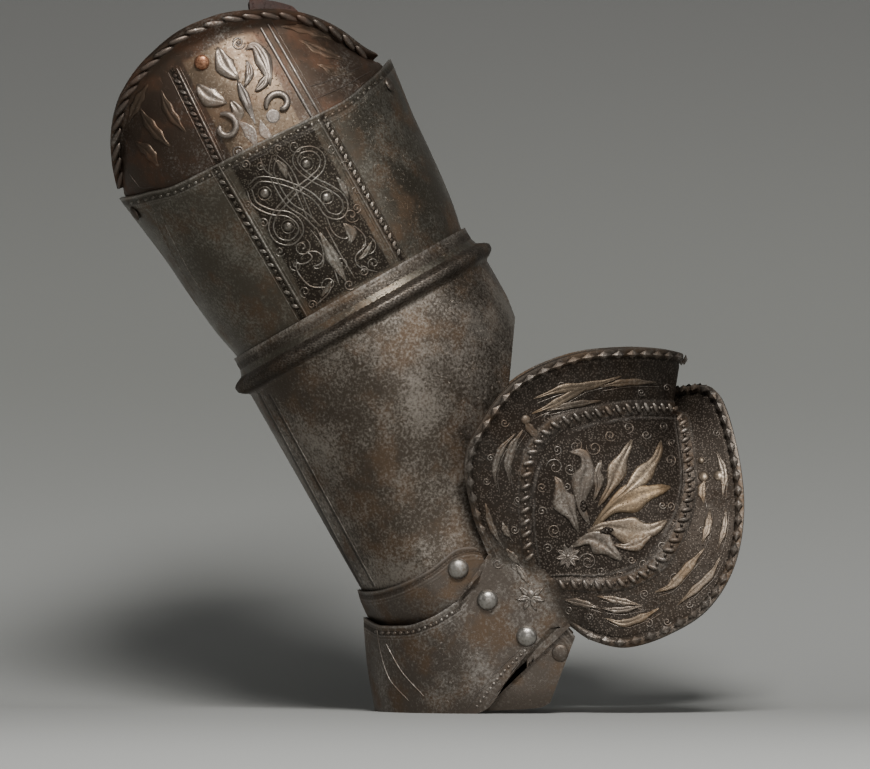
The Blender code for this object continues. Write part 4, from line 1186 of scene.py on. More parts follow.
wingOrnament = {
    # spine keys, half width, ribs and how much gilding is left
    "palmette": (
        (((592, 523), (614, 502), (643, 491), (669, 484)), 11.0, 4.0, 0.95),
        (((606, 503), (627, 486), (643, 470), (655, 455), (660, 438)), 7.0, 2.0, 0.6),
        (((597, 503), (610, 482), (618, 462), (631, 437)), 7.5, 2.0, 0.45),
        (((592, 498), (597, 482), (596, 470), (600, 457)), 5.0, 1.0, 0.2),
        (((588, 521), (580, 502), (581, 482), (586, 466), (582, 451), (570, 449)), 9.0, 3.0, 0.1),
        (((577, 528), (570, 511), (561, 494), (558, 480), (554, 474)), 9.0, 4.0, 0.1),
        (((586, 528), (606, 523), (631, 528), (651, 526), (665, 517)), 11.0, 4.0, 0.5),
        (((571, 543), (588, 535), (602, 541), (614, 551), (620, 556)), 9.5, 5.0, 0.15),
        (((612, 541), (626, 543), (640, 538), (651, 529)), 5.5, 2.0, 0.3),
    ),
    "knot": ((567, 553), 13.0, 9),  # centre, leaf length, leaves
    "eyes": (((581.6, 496), (583, 509)), ((598, 528), (613, 526))),
    "curls": (  # centre, radius, turns, start
        ((553.5, 527), 7.0, 1.4, 60), ((586.7, 558.0), 9.0, 1.5, 180), ((574.5, 443), 7.0, 1.3, -90),
        ((593, 445), 8.0, -1.3, 200),
        ((554, 464), 9.0, 1.2, 180), ((669, 457.5), 6.0, -1.3, 90), ((661, 502), 4.0, 1.3, 0),
        ((669, 503), 4.5, -1.2, 90),
        ((609, 433), 6.0, 1.3, 30), ((627, 425), 6.0, -1.2, 100), ((630, 556), 4.0, 1.2, 0), ((643, 590), 5.0, 1.3, 90),
        ((672.5, 575), 6.0, -1.3, 0), ((647, 619), 5.0, 1.3, 200), ((687, 600), 4.0, 1.2, 0),
        ((547.7, 415), 6.0, 1.3, 20),
        ((569, 466), 6.0, 1.2, 40), ((614, 462), 5.0, -1.2, 0), ((640, 520), 4.0, 1.2, 70),
        ((566, 483), 4.5, -1.2, 180), ((600, 567), 5.0, 1.2, 0),
        ((618, 572), 5.0, -1.2, 90), ((642, 560), 5.5, 1.2, 30), ((660, 543), 5.0, -1.2, 10),
        ((547, 545), 5.0, 1.2, 200), ((541, 508), 5.0, -1.2, 20),
        ((541, 484), 5.0, 1.2, 60), ((556, 447), 5.0, -1.2, 110), ((645, 432), 5.0, 1.2, 0),
        ((662, 424), 4.5, -1.2, 60), ((671, 440), 4.0, 1.2, 90),
        ((671, 520), 4.0, -1.2, 30), ((568, 606), 4.0, 1.2, 90), ((588, 613), 4.0, -1.2, 40),
        ((665, 617), 4.0, 1.2, 10), ((722, 520), 4.0, 1.2, 0),
        ((708, 590), 3.5, 1.2, 0), ((640, 390), 4.0, 1.2, 20), ((560, 384), 4.5, -1.2, 0),
        ((486, 478), 4.0, 1.2, 0), ((520, 470), 4.0, -1.2, 0),
        ((517, 497), 4.0, 1.2, 80), ((490, 455), 4.0, -1.2, 0), ((504, 420), 4.5, 1.2, 0),
        ((666, 386), 4.0, -1.2, 0), ((715, 430), 4.0, 1.2, 0),
        ((515, 563), 6.0, -1.3, 90), ((514, 526), 4.5, 1.3, 0), ((702, 457), 4.0, 1.2, 0),
        ((700, 527), 4.0, -1.2, 0), ((497, 560), 5.0, 1.3, 0),
    ),
    "channels": (  # spine, half width, gilding
        (((561, 595), (580, 599), (598, 604)), 4.5, 0.2), (((596, 592), (614, 596), (639, 601)), 4.5, 0.35),
        (((600, 604), (618, 606), (640, 602)), 4.0, 0.2),
        (((604, 614), (622, 619), (643, 612), (657, 604)), 5.0, 0.7),
        (((675, 601), (690, 588), (708, 571), (718, 553)), 5.0, 0.5),
        (((653, 588), (669, 582), (684, 566), (702, 545)), 6.0, 0.7),
        (((700, 540), (706, 523), (708, 506)), 5.0, 0.5), (((716, 545), (722, 525), (724, 505)), 4.0, 0.3),
        (((702, 500), (700, 487), (704, 477)), 5.0, 0.6), (((721, 492), (722, 470), (715, 448)), 5.0, 0.3),
        (((531, 411), (556, 400), (581, 386), (600, 381)), 5.0, 0.7),
        (((533, 396), (562, 386), (590, 383), (620, 374)), 5.0, 0.75),
        (((544, 408), (572, 402), (600, 398)), 4.0, 0.3), (((598, 384), (625, 380), (655, 380)), 4.0, 0.5),
        (((522, 427), (512, 443), (507, 462), (509, 480)), 5.0, 0.05),
        (((514, 431), (500, 447), (494, 468), (496, 485)), 4.0, 0.05),
        (((502, 519), (505, 527), (510, 534)), 4.0, 0.2), (((506, 545), (512, 553), (520, 560)), 4.5, 0.1),
        (((515, 560), (522, 570), (527, 580)), 4.0, 0.1),
        (((485, 500), (490, 520), (500, 540)), 4.0, 0.1), (((523, 417), (531, 428), (540, 437)), 5.0, 0.1),
    ),
    "bosses": (
        ((702, 474), 5.5, 0.9), ((717, 473), 5.5, 0.8), ((700, 458), 3.5, 0.8), ((525, 417), 5.0, 0.3),
        ((530, 590), 4.5, 0.0),
    ),
    "neckKnot": ((530, 593), 15.0, 7),
    "backLines": (
        ((377, 625), (381, 650), (390, 676), (409, 697)), ((386, 640), (402, 668), (424, 692)),
        ((466, 705), (492, 671), (519, 645)),
        ((486, 702), (508, 673), (530, 644)),
    ),
    "edgeBeads": ((475, 704), (500, 671), (525, 646)),
}


def layWing(relief):
    size = wingOrnament
    for keys, width, ribs, gilt in size["palmette"]:
        looks = {"gilt": 0.8 * gilt, "raised": 0.17 * (1.0 - gilt)}
        layLeaf(relief, keys, 1.25 * width, 1.1, ribs=ribs, lobes=2.0, fullAt=0.6, **looks)
        layWire(relief, keys, 0.30, raised=0.3)
    for centre, length, count in (size["knot"], size["neckKnot"]):
        for step in range(count):
            angle = 2.0 * math.pi * (step + 0.3) / count
            tip = (centre[0] + length * math.cos(angle), centre[1] + length * math.sin(angle))
            layLeaf(relief, (centre, tip), 3.4, 0.7, ribs=0.0, steps=10, raised=0.12)
        layBoss(relief, centre, 3.0, 0.9, raised=0.2)
    for ends in size["eyes"]:
        layLeaf(relief, ends, 4.4, 1.9, ribs=0.0, steps=12, ground=1.0)
        for share in (0.25, 0.5, 0.75):
            seat = np.array(ends[0]) * (1.0 - share) + np.array(ends[1]) * share
            layBoss(relief, seat, 1.6, 2.3, raised=0.6)
    for centre, radius, turns, start in size["curls"]:
        layScroll(relief, centre, radius, turns, start, 0.36, raised=0.26)
    for keys, width, gilt in size["channels"]:
        layLeaf(relief, keys, width, 0.8, ribs=2.0, lobes=3.0, gilt=0.6 * gilt, raised=0.14 * (1.0 - gilt))
        layWire(relief, np.array(keys) + (3.0, 4.5), 0.24, raised=0.3)
    for centre, radius, gilt in size["bosses"]:
        layBoss(relief, centre, radius, 1.3, gilt=0.7 * gilt, raised=0.3)
    for keys in size["backLines"]:
        layWire(relief, keys, 0.32, raised=0.25)
    layBeads(relief, curved(size["edgeBeads"]), 5.6, 1.7, 0.45, raised=0.35)


def beadRows(skin, normal, neck, rows, pitch, inset, trim):  # places along rows of the wing, both sides
    columns = len(skin)
    places = []
    for row, sign in rows:
        wing = slice(neck + 3, columns - neck - 2)
        line, up = skin[wing, row], normal[wing, row]
        away = skin[wing, row + sign] - line
        run = unit(np.gradient(line, axis=0))
        aside = unit(away - np.sum(away * run, axis=-1, keepdims=True) * run)
        lengths = lengthsAlong(line)
        count = int((lengths[-1] - 2.0 * trim) / pitch)
        at = trim + pitch * (np.arange(count) + 0.5)
        places.append([sampled(at, lengths, part) for part in (line + aside * inset, up, run, aside)])
    return [np.concatenate(group) for group in zip(*places)]


def domeMesh(name, sides, points, raised):  # a low dome over X and Y, its foot a little under the ground
    rings = [(math.cos(a), math.sin(a)) for a in np.linspace(0.0, 1.35, points)]
    rings.insert(0, (1.02, -0.3))
    turns = [2 * math.pi * i / sides for i in range(sides)]
    verts = [(r * math.cos(turn), r * math.sin(turn), h) for r, h in rings for turn in turns]
    faces = [
        (k * sides + i, k * sides + (i + 1) % sides, (k + 1) * sides + (i + 1) % sides, (k + 1) * sides + i)
        for k in range(len(rings) - 1) for i in range(sides)
    ]
    faces.append(tuple(range((len(rings) - 1) * sides, len(rings) * sides)))
    mesh = newMesh(name, verts, faces)
    addMarks(mesh, [markValues({"raised": raised})] * len(verts))
    mesh.shade_smooth()
    return mesh


def toothMesh(name, raised):  # a four-sided lozenge with bright ridges
    points = [(1.0, 0.0, 0.0), (0.0, 1.0, 0.0), (-1.0, 0.0, 0.0), (0.0, -1.0, 0.0), (0.35, 0.0, 0.9), (-0.35, 0.0, 0.9)]
    mesh = newMesh(name, points, [(0, 1, 4), (1, 5, 4), (1, 2, 5), (2, 3, 5), (3, 4, 5), (3, 0, 4)])
    # ridge points take the crest colour, worn steel and a painted highlight; the foot points a darker tint
    addMarks(mesh, [[0.05, 0.0, 0.4]] * 4 + [[raised, 0.0, 0.0]] * 2)
    return mesh


wingBeads = {
    "rib_strokes": {"pitch": 5.6, "inset": 0.0, "trim": 3.0, "lift": 0.75, "lean": 0.55, "size": (2.9, 1.15, 0.95)},
    "rib_beads": {"pitch": 5.6, "inset": 0.0, "trim": 5.8, "lift": 0.85, "size": (0.8, 0.8, 0.7)},
    "rim_teeth": {"pitch": 7.8, "inset": 2.3, "trim": 6.0, "lift": 1.0, "size": (3.6, 2.1, 1.1)},
}


def addWingBeads(skin, normal, neck):
    last = couter["rows"] - 1
    ribs, rims = [(last // 3, 1), (last * 2 // 3, 1)], [(0, 1), (last, -1)]
    # strokes, beads and teeth take the crest colour: worn steel and a painted highlight
    forms = {
        "rib_strokes": domeMesh("stroke_form", 8, 3, 0.34),
        "rib_beads": domeMesh("bead_form", 8, 3, 0.25),
        "rim_teeth": toothMesh("tooth_form", 0.42),
    }
    for name, size in wingBeads.items():
        rows = rims if name == "rim_teeth" else ribs
        place, up, run, aside = beadRows(skin, normal, neck, rows, size["pitch"], size["inset"], size["trim"])
        along = unit(run * size["lean"] + aside) if "lean" in size else run
        sizes = np.tile(size["size"], (len(place), 1))
        piece = setOnPoints(name, forms[name], place + up * size["lift"], up, along, sizes, couterFinish)
        finishPiece(piece, "couter")


def buildCouter():
    share = np.linspace(0.0, 1.0, couter["rows"])
    half, neck = couterHalf(share)
    skin = mirroredLoop(half)
    normal = outward(skin, True)
    inside = skin - normal * plateWall
    onFloor = skin[:, -1, 2] < 0.13
    skin += floorShift
    inside += floorShift
    place = np.minimum(np.arange(len(skin)), len(skin) - np.arange(len(skin)))
    onWing = ease((place - neck + 6.0) / 30.0)[:, None]
    fromTop, fromFoot = edgeDistances(skin)
    ribAt = (1.0 / 3.0, 2.0 / 3.0)  # shares of the way from the upper rim to the lower
    ribs = [np.abs(fromTop - fromTop[:, int(round((len(share) - 1) * at))][:, None]) for at in ribAt]
    inField = ((share > ribAt[0]) & (share < ribAt[1]))[None, :] & (onWing > 0.5)
    canvas = newCanvas(skin)
    canvas["ground"] = (0.95 * inField + 0.86 * (~inField) * onWing).ravel()
    relief = newRelief(skin, True)
    relief["sides"] = (-1.0, 1.0)
    layWing(relief)
    low = np.array([sampled(3.4, fromTop[c], skin[c]) for c in range(16, neck - 10)])
    layBeads(relief, pictureAt(low), 6.2, 1.6, 0.4, raised=0.3)
    finishRelief(relief, "couter", "couter", couterFinish)
    fade = (ease((len(half) - 1 - place) / 24.0)[:, None] * onWing)
    for distance in ribs:
        band = ease((3.4 - distance) / 1.1) * fade
        fadeMarks(canvas, band)
        rise = 1.05 * roundRise(distance, 0.0, 3.6) * fade
        raiseMarks(canvas, slice(None), band.ravel(), rise.ravel(), {"ground": 0.55})
        drawAtDistance(canvas, distance, ((3.5, 0.6, 0.12, 0.2),), fade)
        drawAtDistance(canvas, distance, ((5.6, 0.9, 0.5, 0.34),), fade * inField)
    for distance in (fromTop, fromFoot):
        roll = 1.25 * roundRise(distance, 1.6, 2.6) * onWing
        canvas["height"] += roll.ravel()
        groove = ease(1.0 - np.abs(distance - 4.9) / 0.9) * onWing
        canvas["height"] -= 0.3 * groove.ravel()
        tint = canvas["ground"] * (1.0 - 0.8 * ease(roll.ravel()))
        canvas["ground"] = np.maximum(tint, 0.7 * groove.ravel())
    behind = (1.0 - onWing) * np.ones_like(fromTop)
    # bright lines along the cop's top edge: worn steel and a painted highlight, with darker grooves
    drawAtDistance(
        canvas, fromTop, ((0.5, 0.9, 0.1, 0.6), (2.1, 0.5, -0.15, 0.0), (4.9, 0.5, 0.16, 0.4), (6.4, 0.5, 0.14, 0.3)),
        behind,
    )
    canvas["ground"] = np.maximum(canvas["ground"], (0.7 * ease((1.4 - np.abs(fromTop - 3.5)) / 0.5) * behind).ravel())
    rise = canvas["height"].reshape(skin.shape[:2])
    rise[:, -1] = np.where(onFloor, 0.0, rise[:, -1])
    skin = skin + normal * rise[..., None]
    skin[onFloor, -1, 2] = 0.0
    inside[onFloor, -1, 2] = 0.0
    piece = addPlate("couter_plate", skin, inside, True, canvasMarks(canvas), couterFinish, stride=3)
    finishPiece(piece, "couter", ("couter",))
    return skin, normal, neck


# top lame and its leather

topLame = {
    "columns": 440,
    "rows": 180,
    "height": 145.5,
    "insideGap": 1.3,
    "lean": 10.5,
    "flare": 6.5,
    "endFlare": 0.35,
    "backRivet": (15.0, 83.0),  # angle and height
    "frontRivet": (157.0, 76.5),
    "end": 8.0,
    "margin": 9.0,
    "sag": 3.0,
    "ropePitch": 9.5,
    "ropeSize": (5.6, 1.5, 1.1),
    "rim": (
        (6, 0.66), (18, 0.755), (30, 0.842), (46, 0.928), (66, 0.985), (83, 1.005), (98, 0.992),
        (112, 0.955), (125, 0.908), (137, 0.845), (149, 0.755), (158, 0.665), (167, 0.615),
    ),
    "cleared": (0.15, 2.5, 13.0, 8.0),  # room under the cannon: least, more, from how far above its edge, over
    "section": (
        (0.0, 0.0, 0.0), (0.25, 0.12, 0.0), (0.5, 0.40, 0.0), (0.72, 0.80, 0.0),
        (0.86, 1.0, 0.12), (0.94, 1.0, 0.55), (1.0, 1.0, 1.0),
    ),
}


def lameRim(angles):
    return topLame["height"] * readTable(topLame["rim"], angles)[:, 0]


def topLameSkin():
    size = topLame
    angles = np.linspace(size["backRivet"][0] - size["end"], size["frontRivet"][0] + size["end"], size["columns"])
    out = np.sin(np.radians(angles))[:, None]
    edge, rim = upperEdge(angles)[:, None], lameRim(angles)[:, None]
    along = (angles - angles[0]) / np.ptp(angles)
    low = size["backRivet"][1] + (size["frontRivet"][1] - size["backRivet"][1]) * along
    low = (low - size["margin"])[:, None] - size["sag"] * out
    upperRows = size["rows"] * 4 // 5
    share = np.linspace(1.0, 0.0, upperRows)
    lean, flare = readTable(size["section"], share).T
    inside = upperRadius(edge) - plateWall - size["insideGap"]
    flared = size["flare"] * flare * (size["endFlare"] + (1.0 - size["endFlare"]) * out)
    radius = inside - size["lean"] * out * lean + flared
    height = edge + (rim - edge) * share
    below = np.linspace(0.0, 1.0, size["rows"] - upperRows + 1)[1:]
    lowHeight = edge + (low - edge) * below
    radius = np.concatenate((radius, upperRadius(lowHeight) - plateWall - size["insideGap"]), axis=1)
    height = np.concatenate((height, lowHeight), axis=1)
    return ringPlace(angles[:, None], radius, height)


topBand = {
    "field": ((218.0, 45.0), (270.0, 144.0)),
    "fieldHalf": 38.0,
    "left": ((178.7, 68.2), (226.0, 164.0)),
    "right": ((261.9, 28.0), (317.0, 124.0)),
    "leaves": (
        (((219, 47), (227, 66), (241, 80)), 9.5, 0.5), (((199, 84), (211, 96), (229, 103)), 9.5, 0.6),
        (((246, 50), (256, 47), (266, 64), (272, 86)), 8.0, 0.35),
        (((240, 121), (250, 130), (259, 147)), 6.0, 0.2), (((232, 100), (240, 112), (238, 124)), 6.0, 0.6),
        (((256, 92), (264, 84), (270, 72)), 5.0, 0.4),
        (((262, 120), (266, 132), (276, 140)), 5.0, 0.3), (((248, 60), (251, 74), (246, 88)), 4.5, 0.3),
    ),
    "scrolls": (((227.5, 127.0), 14.0, 0.85, -110.0), ((280.6, 104.0), 13.5, 0.8, 160.0)),
    "rosettes": (((239.8, 43.0), 7.0), ((240.5, 151.0), 7.0)),
    "spindle": ((239.0, 80.0), (248.0, 101.0), (257.0, 124.0)),
    "ball": ((274.5, 116.0), 7.5),
    "flankLeaves": (
        ((142, 108), (155, 128), (172, 146)), ((137, 140), (150, 150), (160, 166)), ((163, 90), (172, 112), (188, 132)),
        ((150, 84), (140, 100), (130, 122)), ((300, 40), (325, 52), (345, 60)),
        ((318, 64), (338, 72), (356, 74)), ((282, 26), (310, 30), (335, 40)),
    ),
    "flankLines": (
        ((305, 88), (330, 80), (362, 66)), ((312, 100), (340, 88), (372, 70)),
        ((130, 172), (142, 186), (156, 186)),
    ),
}


def layTopBand(relief):
    # the band's relief takes the crest colour near full strength: worn steel and a painted highlight where the band
    # faces the light
    size = topBand
    layBorder(relief, size["left"], -1.0, 12.0)
    steps = np.linspace(0.0, 1.0, 14)[:, None]
    first, last = np.array(size["right"])
    for away, thick, raised in (((0.0, 0.0), 0.95, 1.0), ((7.0, -4.0), 0.75, 0.95), ((11.0, -6.0), 0.3, 0.3)):
        layWire(relief, first + away + (last - first) * steps, thick, raised=raised)
    for keys, width, gilt in size["leaves"]:
        layLeaf(relief, keys, 1.15 * width, 1.9, ribs=1.0, gilt=gilt, raised=0.85)
    for centre, radius, turns, start in size["scrolls"]:
        layWire(relief, spiralPath(centre, radius, turns, start, 0.35), 1.7, gilt=0.3, raised=0.95)
    for centre, radius in size["rosettes"]:
        layWire(relief, spiralPath(centre, radius, 1.6, 0.0), 0.5, raised=0.6)
        layBoss(relief, centre, 2.6, 0.9, raised=0.7)
    layLeaf(relief, size["spindle"], 5.5, 2.4, ribs=0.0, fullAt=0.35, raised=1.0)
    layBoss(relief, size["ball"][0], size["ball"][1], 2.4, raised=0.95)
    for keys in size["flankLeaves"]:
        layLeaf(relief, keys, 6.0, 0.8, lobes=3.0, gilt=0.15, raised=0.06)
    for keys in size["flankLines"]:
        layWire(relief, keys, 0.32, raised=0.3)


def roomUnderCannon(places):  # how high the relief may stand where the rocking lame slides under the cannon
    local = places - collar
    angles = np.degrees(np.arctan2(-local[:, 1], -(local @ foreAxis))) % 360.0
    above = local @ upAxis - upperEdge(angles)
    least, more, begin, over = topLame["cleared"]
    return least + more * ease((above - begin) / over)


def buildTopLame():
    skin = topLameSkin()
    normal = outward(skin, False)
    inside = skin - normal * plateWall
    canvas = newCanvas(skin)
    # the field gets gilding and a faint painted sheen
    shadeBand(canvas, topBand["field"], topBand["fieldHalf"], raised=0.14, gilt=0.5)
    shadeBorder(canvas, topBand["left"], -1.0)
    relief = newRelief(skin, False)
    relief["roomFor"] = roomUnderCannon
    layTopBand(relief)
    finishRelief(relief, "top_lame", "top_lame", topLameFinish)
    fromTop, _ = edgeDistances(skin)
    neck = ease((14.0 - fromTop) / 3.0)  # keeps the band's ornament off the hollow neck and the rim
    fadeMarks(canvas, neck)
    ends = np.minimum(np.arange(len(skin)), np.arange(len(skin))[::-1])[:, None]
    roll = roundRise(fromTop, 1.5, 2.4) * ease(ends / 12.0)
    canvas["height"] += roll.ravel()
    groove = ease(1.0 - np.abs(fromTop - 4.6) / 0.9)
    canvas["height"] -= 0.25 * groove.ravel()
    canvas["ground"] = np.maximum(canvas["ground"], 0.6 * groove.ravel())
    skin = raisedSkin(skin, normal, canvas)
    piece = addPlate("top_lame_plate", skin, inside, False, canvasMarks(canvas), topLameFinish)
    finishPiece(piece, "top_lame", ("top_lame",))
    return skin, normal


def addRimRope(skin, normal):
    line, up = skin[4:-4, 0], normal[4:-4, 2]
    away = unit(skin[4:-4, 3] - line)
    run = unit(np.gradient(line, axis=0))
    lengths = lengthsAlong(line)
    at = np.arange(5.0, lengths[-1] - 4.0, topLame["ropePitch"])
    line, up, run, away = (sampled(at, lengths, part) for part in (line, up, run, away))
    sizes = np.tile(topLame["ropeSize"], (len(at), 1))
    places, along = line + away * 2.7 + up * 0.45, unit(run + 0.32 * away)
    # the studs take the crest colour: worn steel and painted highlight dashes
    piece = setOnPoints("rim_rope", domeMesh("rope_form", 8, 4, 0.34), places, up, along, sizes, topLameFinish)
    finishPiece(piece, "top_lame")


leather = {
    "from": 78.0, "to": 141.0, "tabAt": 112.0, "tabRun": 8.0, "tabEnd": 137.0, "endRun": 5.0,  # degrees
    "drop": 7.5, "foot": 25.0, "rise": 8.5, "thick": 2.4, "gap": 0.8,
}


def buildLeather():
    angles = np.linspace(leather["from"], leather["to"], 121)
    out = np.sin(np.radians(angles))
    rim = lameRim(angles)
    neck = upperRadius(upperEdge(angles)) - plateWall - topLame["insideGap"] - topLame["lean"] * out
    radius = (neck - plateWall - leather["gap"])[:, None]
    pastEnd = ease((angles - leather["tabEnd"]) / leather["endRun"])
    onTab = ease((angles - leather["tabAt"]) / leather["tabRun"]) * (1.0 - 0.5 * pastEnd)
    top = rim - leather["drop"] + (leather["rise"] + leather["drop"]) * onTab
    share = np.linspace(0.0, 1.0, 41)[None, :]
    height = top[:, None] + (rim - leather["foot"] - top)[:, None] * share
    skin = ringPlace(angles[:, None], radius + 0.0 * height, height)
    normal = outward(skin, False)
    inside = skin - normal * leather["thick"]
    piece = addPlate("leather_strip", skin, inside, False, flatMarks(skin.shape[:2]), leatherFinish)
    finishPiece(piece, "top_lame", ("arming_tab",))


buildUpperCannon()
buildLowerCannon()
buildLame("upper_lame", lames["upperEdges"], cannonPivot, lames["upperReach"], lames["upperFlat"], "upper_lame")
buildLame("lower_lame", lames["lowerEdges"], forearmPivot, lames["lowerReach"], lames["lowerFlat"], "lower_lame")
couterSkin, couterNormal, couterNeck = buildCouter()
topSkin, topNormal = buildTopLame()
buildLeather()
print("stage: plates and leather built")


# rivets

rivets = {"sides": 32, "shank": 2.0, "gap": 0.3, "headEdge": 0.25, "washer": (3.8, 1.2)}


def turnedRivet(name, radius, rise, grip):  # a domed head over its shank and washer, up along Z
    crown = [(radius * math.cos(a), rise * math.sin(a)) for a in np.radians(np.linspace(90.0, 0.0, 12))]
    shank, (washer, thick) = rivets["shank"], rivets["washer"]
    under, foot = -rivets["headEdge"], -grip - thick
    profile = crown[1:] + [(radius, under), (shank, under), (shank, -grip), (washer, -grip), (washer, foot)]
    sides = rivets["sides"]
    turns = [2.0 * math.pi * i / sides for i in range(sides)]
    points = [(r * math.cos(turn), r * math.sin(turn), h) for r, h in profile for turn in turns]
    points += [(0.0, 0.0, rise), (0.0, 0.0, foot)]
    top, last = len(points) - 2, (len(profile) - 1) * sides
    faces = []
    for i in range(sides):
        j = (i + 1) % sides
        faces += [(top, i, j), (last + j, last + i, top + 1)]
        faces += [(k + i, k + sides + i, k + sides + j, k + j) for k in range(0, last, sides)]
    mesh = newMesh(name, points, faces)
    smoothMesh(mesh)
    return mesh


def makeSetterTree():  # sets one shape on every point, turned by the point's own directions
    tree, start, end = newTree(
        "setOnPoints", "GeometryNodeTree",
        (("Geometry", "Geometry", None), ("Shape", "Object", None), ("Finish", "Material", None)),
        (("Geometry", "Geometry"),),
    )
    shape = newNode(tree, "GeometryNodeObjectInfo")
    tree.links.new(start.outputs["Shape"], shape.inputs["Object"])
    facing, along, size = (pointValue(tree, word, "FLOAT_VECTOR") for word in ("facing", "along", "size"))
    turned = newNode(tree, "FunctionNodeAxesToRotation", primary_axis="Z", secondary_axis="X")
    tree.links.new(facing, turned.inputs[0])
    tree.links.new(along, turned.inputs[1])
    placed = newNode(tree, "GeometryNodeInstanceOnPoints")
    tree.links.new(start.outputs["Geometry"], placed.inputs["Points"])
    tree.links.new(shape.outputs["Geometry"], placed.inputs["Instance"])
    tree.links.new(turned.outputs[0], placed.inputs["Rotation"])
    tree.links.new(size, placed.inputs["Scale"])
    dressResult(tree, start, end, placed.outputs[0])
    return tree


setterTree = makeSetterTree()


def setOnPoints(name, shapeMesh, places, facing, along, sizes, finish):
    shape = linked(name + "_shape", shapeMesh)
    mesh = newMesh(name + "_points", places)
    for word, values in (("facing", facing), ("along", along), ("size", sizes)):
        addLayer(mesh, word, values, "FLOAT_VECTOR")
    plain = grownMesh(name, mesh, setterTree, {"Shape": shape, "Finish": finish})
    bpy.data.objects.remove(shape, do_unlink=True)
    return linkMesh(name, plain, finish)


def sideRivets(name, places, outerY, innerY, finish, body, replaced, radius=5.0, rise=3.2):
    points, facing = [], []
    for place in places:
        for side in (-1.0, 1.0):
            points.append(np.array((place[0], side * (outerY + rivets["gap"]), place[1])) + floorShift)
            facing.append((0.0, side, 0.0))
    shape = turnedRivet(name + "_form", radius, rise, outerY - innerY + 2.0 * rivets["gap"])
    along = [(1.0, 0.0, 0.0)] * len(points)
    piece = setOnPoints(name, shape, points, facing, along, np.ones((len(points), 3)), finish)
    finishPiece(piece, body, replaced)


def buildRivets():
    width = lames["halfWidth"]
    sideRivets(
        "elbow_rivets", [cannonPivot], width, 48.8, rivetFinish, "upper_lame",
        ("cannon_rivet_outer", "cannon_rivet_inner"),
    )
    sideRivets(
        "couter_rivets", [lamePivot, forearmPivot], couter["halfWidth"], width - plateWall, rivetFinish, "couter",
        ("lame_rivet_outer", "lame_rivet_inner", "forearm_rivet_outer", "forearm_rivet_inner"),
    )
    sideRivets(
        "forearm_rivets", [forearmRivet], width - 0.1, width - 2.2, lameFinish, "lower_lame",
        ("flush_rivet_outer", "flush_rivet_inner"), radius=4.0, rise=0.9,
    )


def upperNormal(angle):
    turn = math.radians(angle)
    return unit(-math.cos(turn) * foreAxis + np.array((0.0, -math.sin(turn), 0.0)))


def setRivets(name, shape, seats, finish, body, replaced):  # seats as place and facing
    places, facing = zip(*seats)
    count = len(seats)
    along = [tuple(upAxis)] * count
    piece = setOnPoints(name, shape, places, facing, along, np.ones((count, 3)), finish)
    finishPiece(piece, body, replaced)


hinge = {"radius": 3.6, "rise": 1.3, "lift": 0.6, "reach": 1.4}
boss = {"radius": 3.6, "rise": 1.9, "lift": 1.2, "reach": 6.3, "angle": 84.0, "drop": 17.5}


def buildHinges():
    seats = []
    for angle, height in (topLame["backRivet"], topLame["frontRivet"]):
        out = upperNormal(angle)
        place = ringPlace(np.array(angle), float(upperRadius(np.array(height))), np.array(height))
        seats.append((place + out * hinge["lift"], out))
    grip = 2.0 * plateWall + topLame["insideGap"] + hinge["reach"]
    shape = turnedRivet("hinge_form", hinge["radius"], hinge["rise"], grip)
    setRivets(
        "top_lame_hinges", shape, seats, lameFinish, "upper_cannon", ("lame_hinge_back", "lame_hinge_front")
    )


def buildBoss():
    angle = boss["angle"]
    edge, rim = float(upperEdge(np.array(angle))), float(lameRim(np.array((angle,)))[0])
    height = rim - boss["drop"]
    out = math.sin(math.radians(angle))
    lean = readTable(topLame["section"], (height - edge) / (rim - edge))[0, 0]
    inside = float(upperRadius(np.array(edge))) - plateWall - topLame["insideGap"]
    facing = upperNormal(angle)
    place = ringPlace(np.array(angle), inside - topLame["lean"] * out * lean, np.array(height))
    shape = turnedRivet("boss_form", boss["radius"], boss["rise"], topLame["lean"] * out * (1.0 - lean) + boss["reach"])
    seats = [(place + facing * boss["lift"], facing)]
    setRivets("copper_rivet", shape, seats, copperFinish, "top_lame", ("lame_boss",))


buildRivets()
buildHinges()
buildBoss()
addWingBeads(couterSkin, couterNormal, couterNeck)
addRimRope(topSkin, topNormal)
print("stage: rivets set")


# floor, backdrop and light

studio = {
    "flatEnd": 0.07,  # m behind the middle, where the paper begins to rise
    "bend": 0.45,
    "height": 4.0,
    "halfWidth": 3.0,
    "front": -4.0,
    "wallFrom": (0.0, 0.17),  # m of height over which the paper turns darker
    "topFrom": (0.12, 0.42),
    "floorColour": (0.345, 0.35, 0.34),
    "wallPaintedShade": (0.215, 0.22, 0.208),
    "topPaintedShade": (0.130, 0.131, 0.127),
}


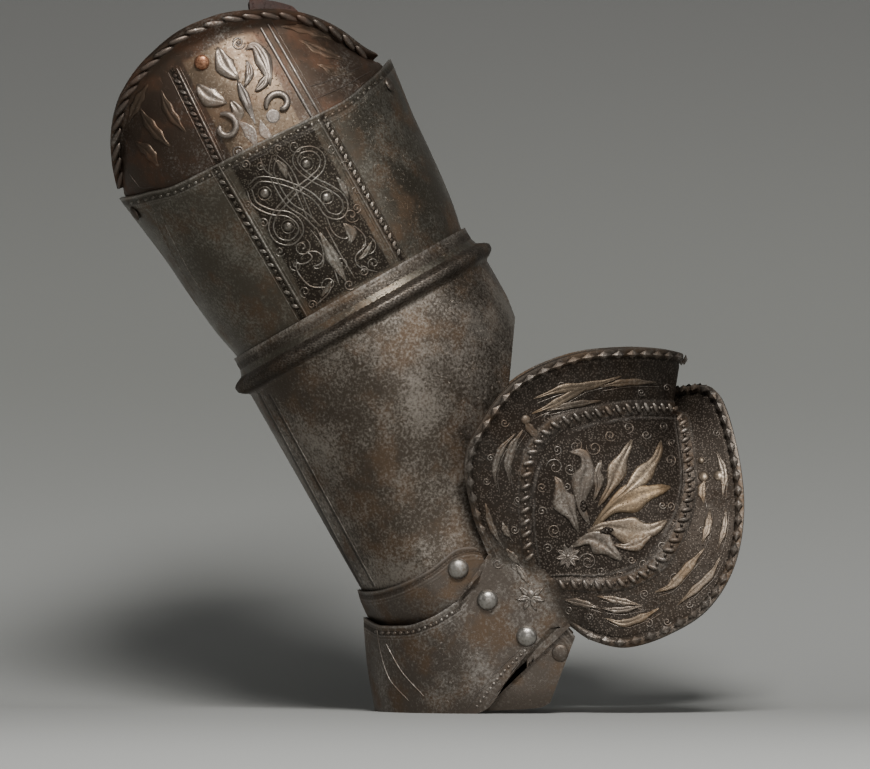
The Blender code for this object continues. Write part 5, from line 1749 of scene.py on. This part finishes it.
def paperFinish():
    finish = bpy.data.materials.new("studioPaper")
    finish.use_nodes = True
    tree = finish.node_tree
    shader = tree.nodes["Principled BSDF"]
    parts = newNode(tree, "ShaderNodeSeparateXYZ")
    tree.links.new(newNode(tree, "ShaderNodeTexCoord").outputs["Object"], parts.inputs[0])
    risen, high = (rangeNode(tree, parts.outputs["Z"], *studio[word]) for word in ("wallFrom", "topFrom"))
    # painted shade: the paper darkens up the bend and the wall, where less light falls
    colour = mixColour(tree, risen, studio["floorColour"], studio["wallPaintedShade"])
    colour = mixColour(tree, high, colour, studio["topPaintedShade"])
    tree.links.new(colour, shader.inputs["Base Color"])
    shader.inputs["Roughness"].default_value = 0.9
    seen = newNode(tree, "ShaderNodeNewGeometry").outputs["Backfacing"]  # clear from behind
    tree.links.new(mathNode(tree, "SUBTRACT", 1.0, seen), shader.inputs["Alpha"])
    return finish


def buildStage():
    start, bend, half = studio["flatEnd"], studio["bend"], studio["halfWidth"]
    outline = [(studio["front"], 0.0), (start, 0.0)]
    turns = np.radians(np.linspace(2.0, 90.0, 45))
    outline += [(start + bend * math.sin(a), bend - bend * math.cos(a)) for a in turns]
    outline.append((start + bend, studio["height"]))
    points = [(x, y, z) for y, z in outline for x in (-half, half)]
    faces = [[2 * i, 2 * i + 1, 2 * i + 3, 2 * i + 2] for i in range(len(outline) - 1)]
    mesh = bpy.data.meshes.new("studio_sweep")
    mesh.from_pydata(points, [], faces)
    mesh.shade_smooth()
    linkMesh("studio_sweep", mesh, paperFinish())


lights = {
    "airColour": (0.75, 0.77, 0.78, 1.0),
    "air": 0.10,
    # place, aim, width, height, power and colour
    "key": ((0.15, -1.15, 1.35), (0.0, 0.0, 0.12), 0.6, 0.4, 31.0, (1.0, 0.985, 0.96)),
    "rightFill": ((1.3, -0.9, 0.8), (0.0, 0.0, 0.15), 0.5, 0.9, 2.2, (1.0, 1.0, 1.0)),
    "leftFill": ((-1.4, -1.0, 0.7), (0.0, 0.0, 0.15), 0.6, 1.0, 1.6, (1.0, 1.0, 1.0)),
    "lowFill": ((0.3, -1.5, 0.25), (0.05, 0.0, 0.08), 0.8, 0.3, 2.4, (1.0, 1.0, 1.0)),
}


def addLights():
    world = bpy.data.worlds.new("studioAir")
    world.use_nodes = True
    air = world.node_tree.nodes["Background"].inputs
    air["Color"].default_value = lights["airColour"]
    air["Strength"].default_value = lights["air"]
    bpy.context.scene.world = world
    for name in ("key", "rightFill", "leftFill", "lowFill"):
        place, aim, width, height, power, colour = lights[name]
        lamp = bpy.data.lights.new(name, "AREA")
        lamp.shape = "RECTANGLE"
        lamp.size, lamp.size_y, lamp.energy, lamp.color = width, height, power, colour
        holder = linked(name, lamp)
        holder.location = place
        holder.rotation_euler = (Vector(aim) - Vector(place)).to_track_quat("-Z", "Y").to_euler()


addCamera()
buildStage()
addLights()
print("stage: studio ready")
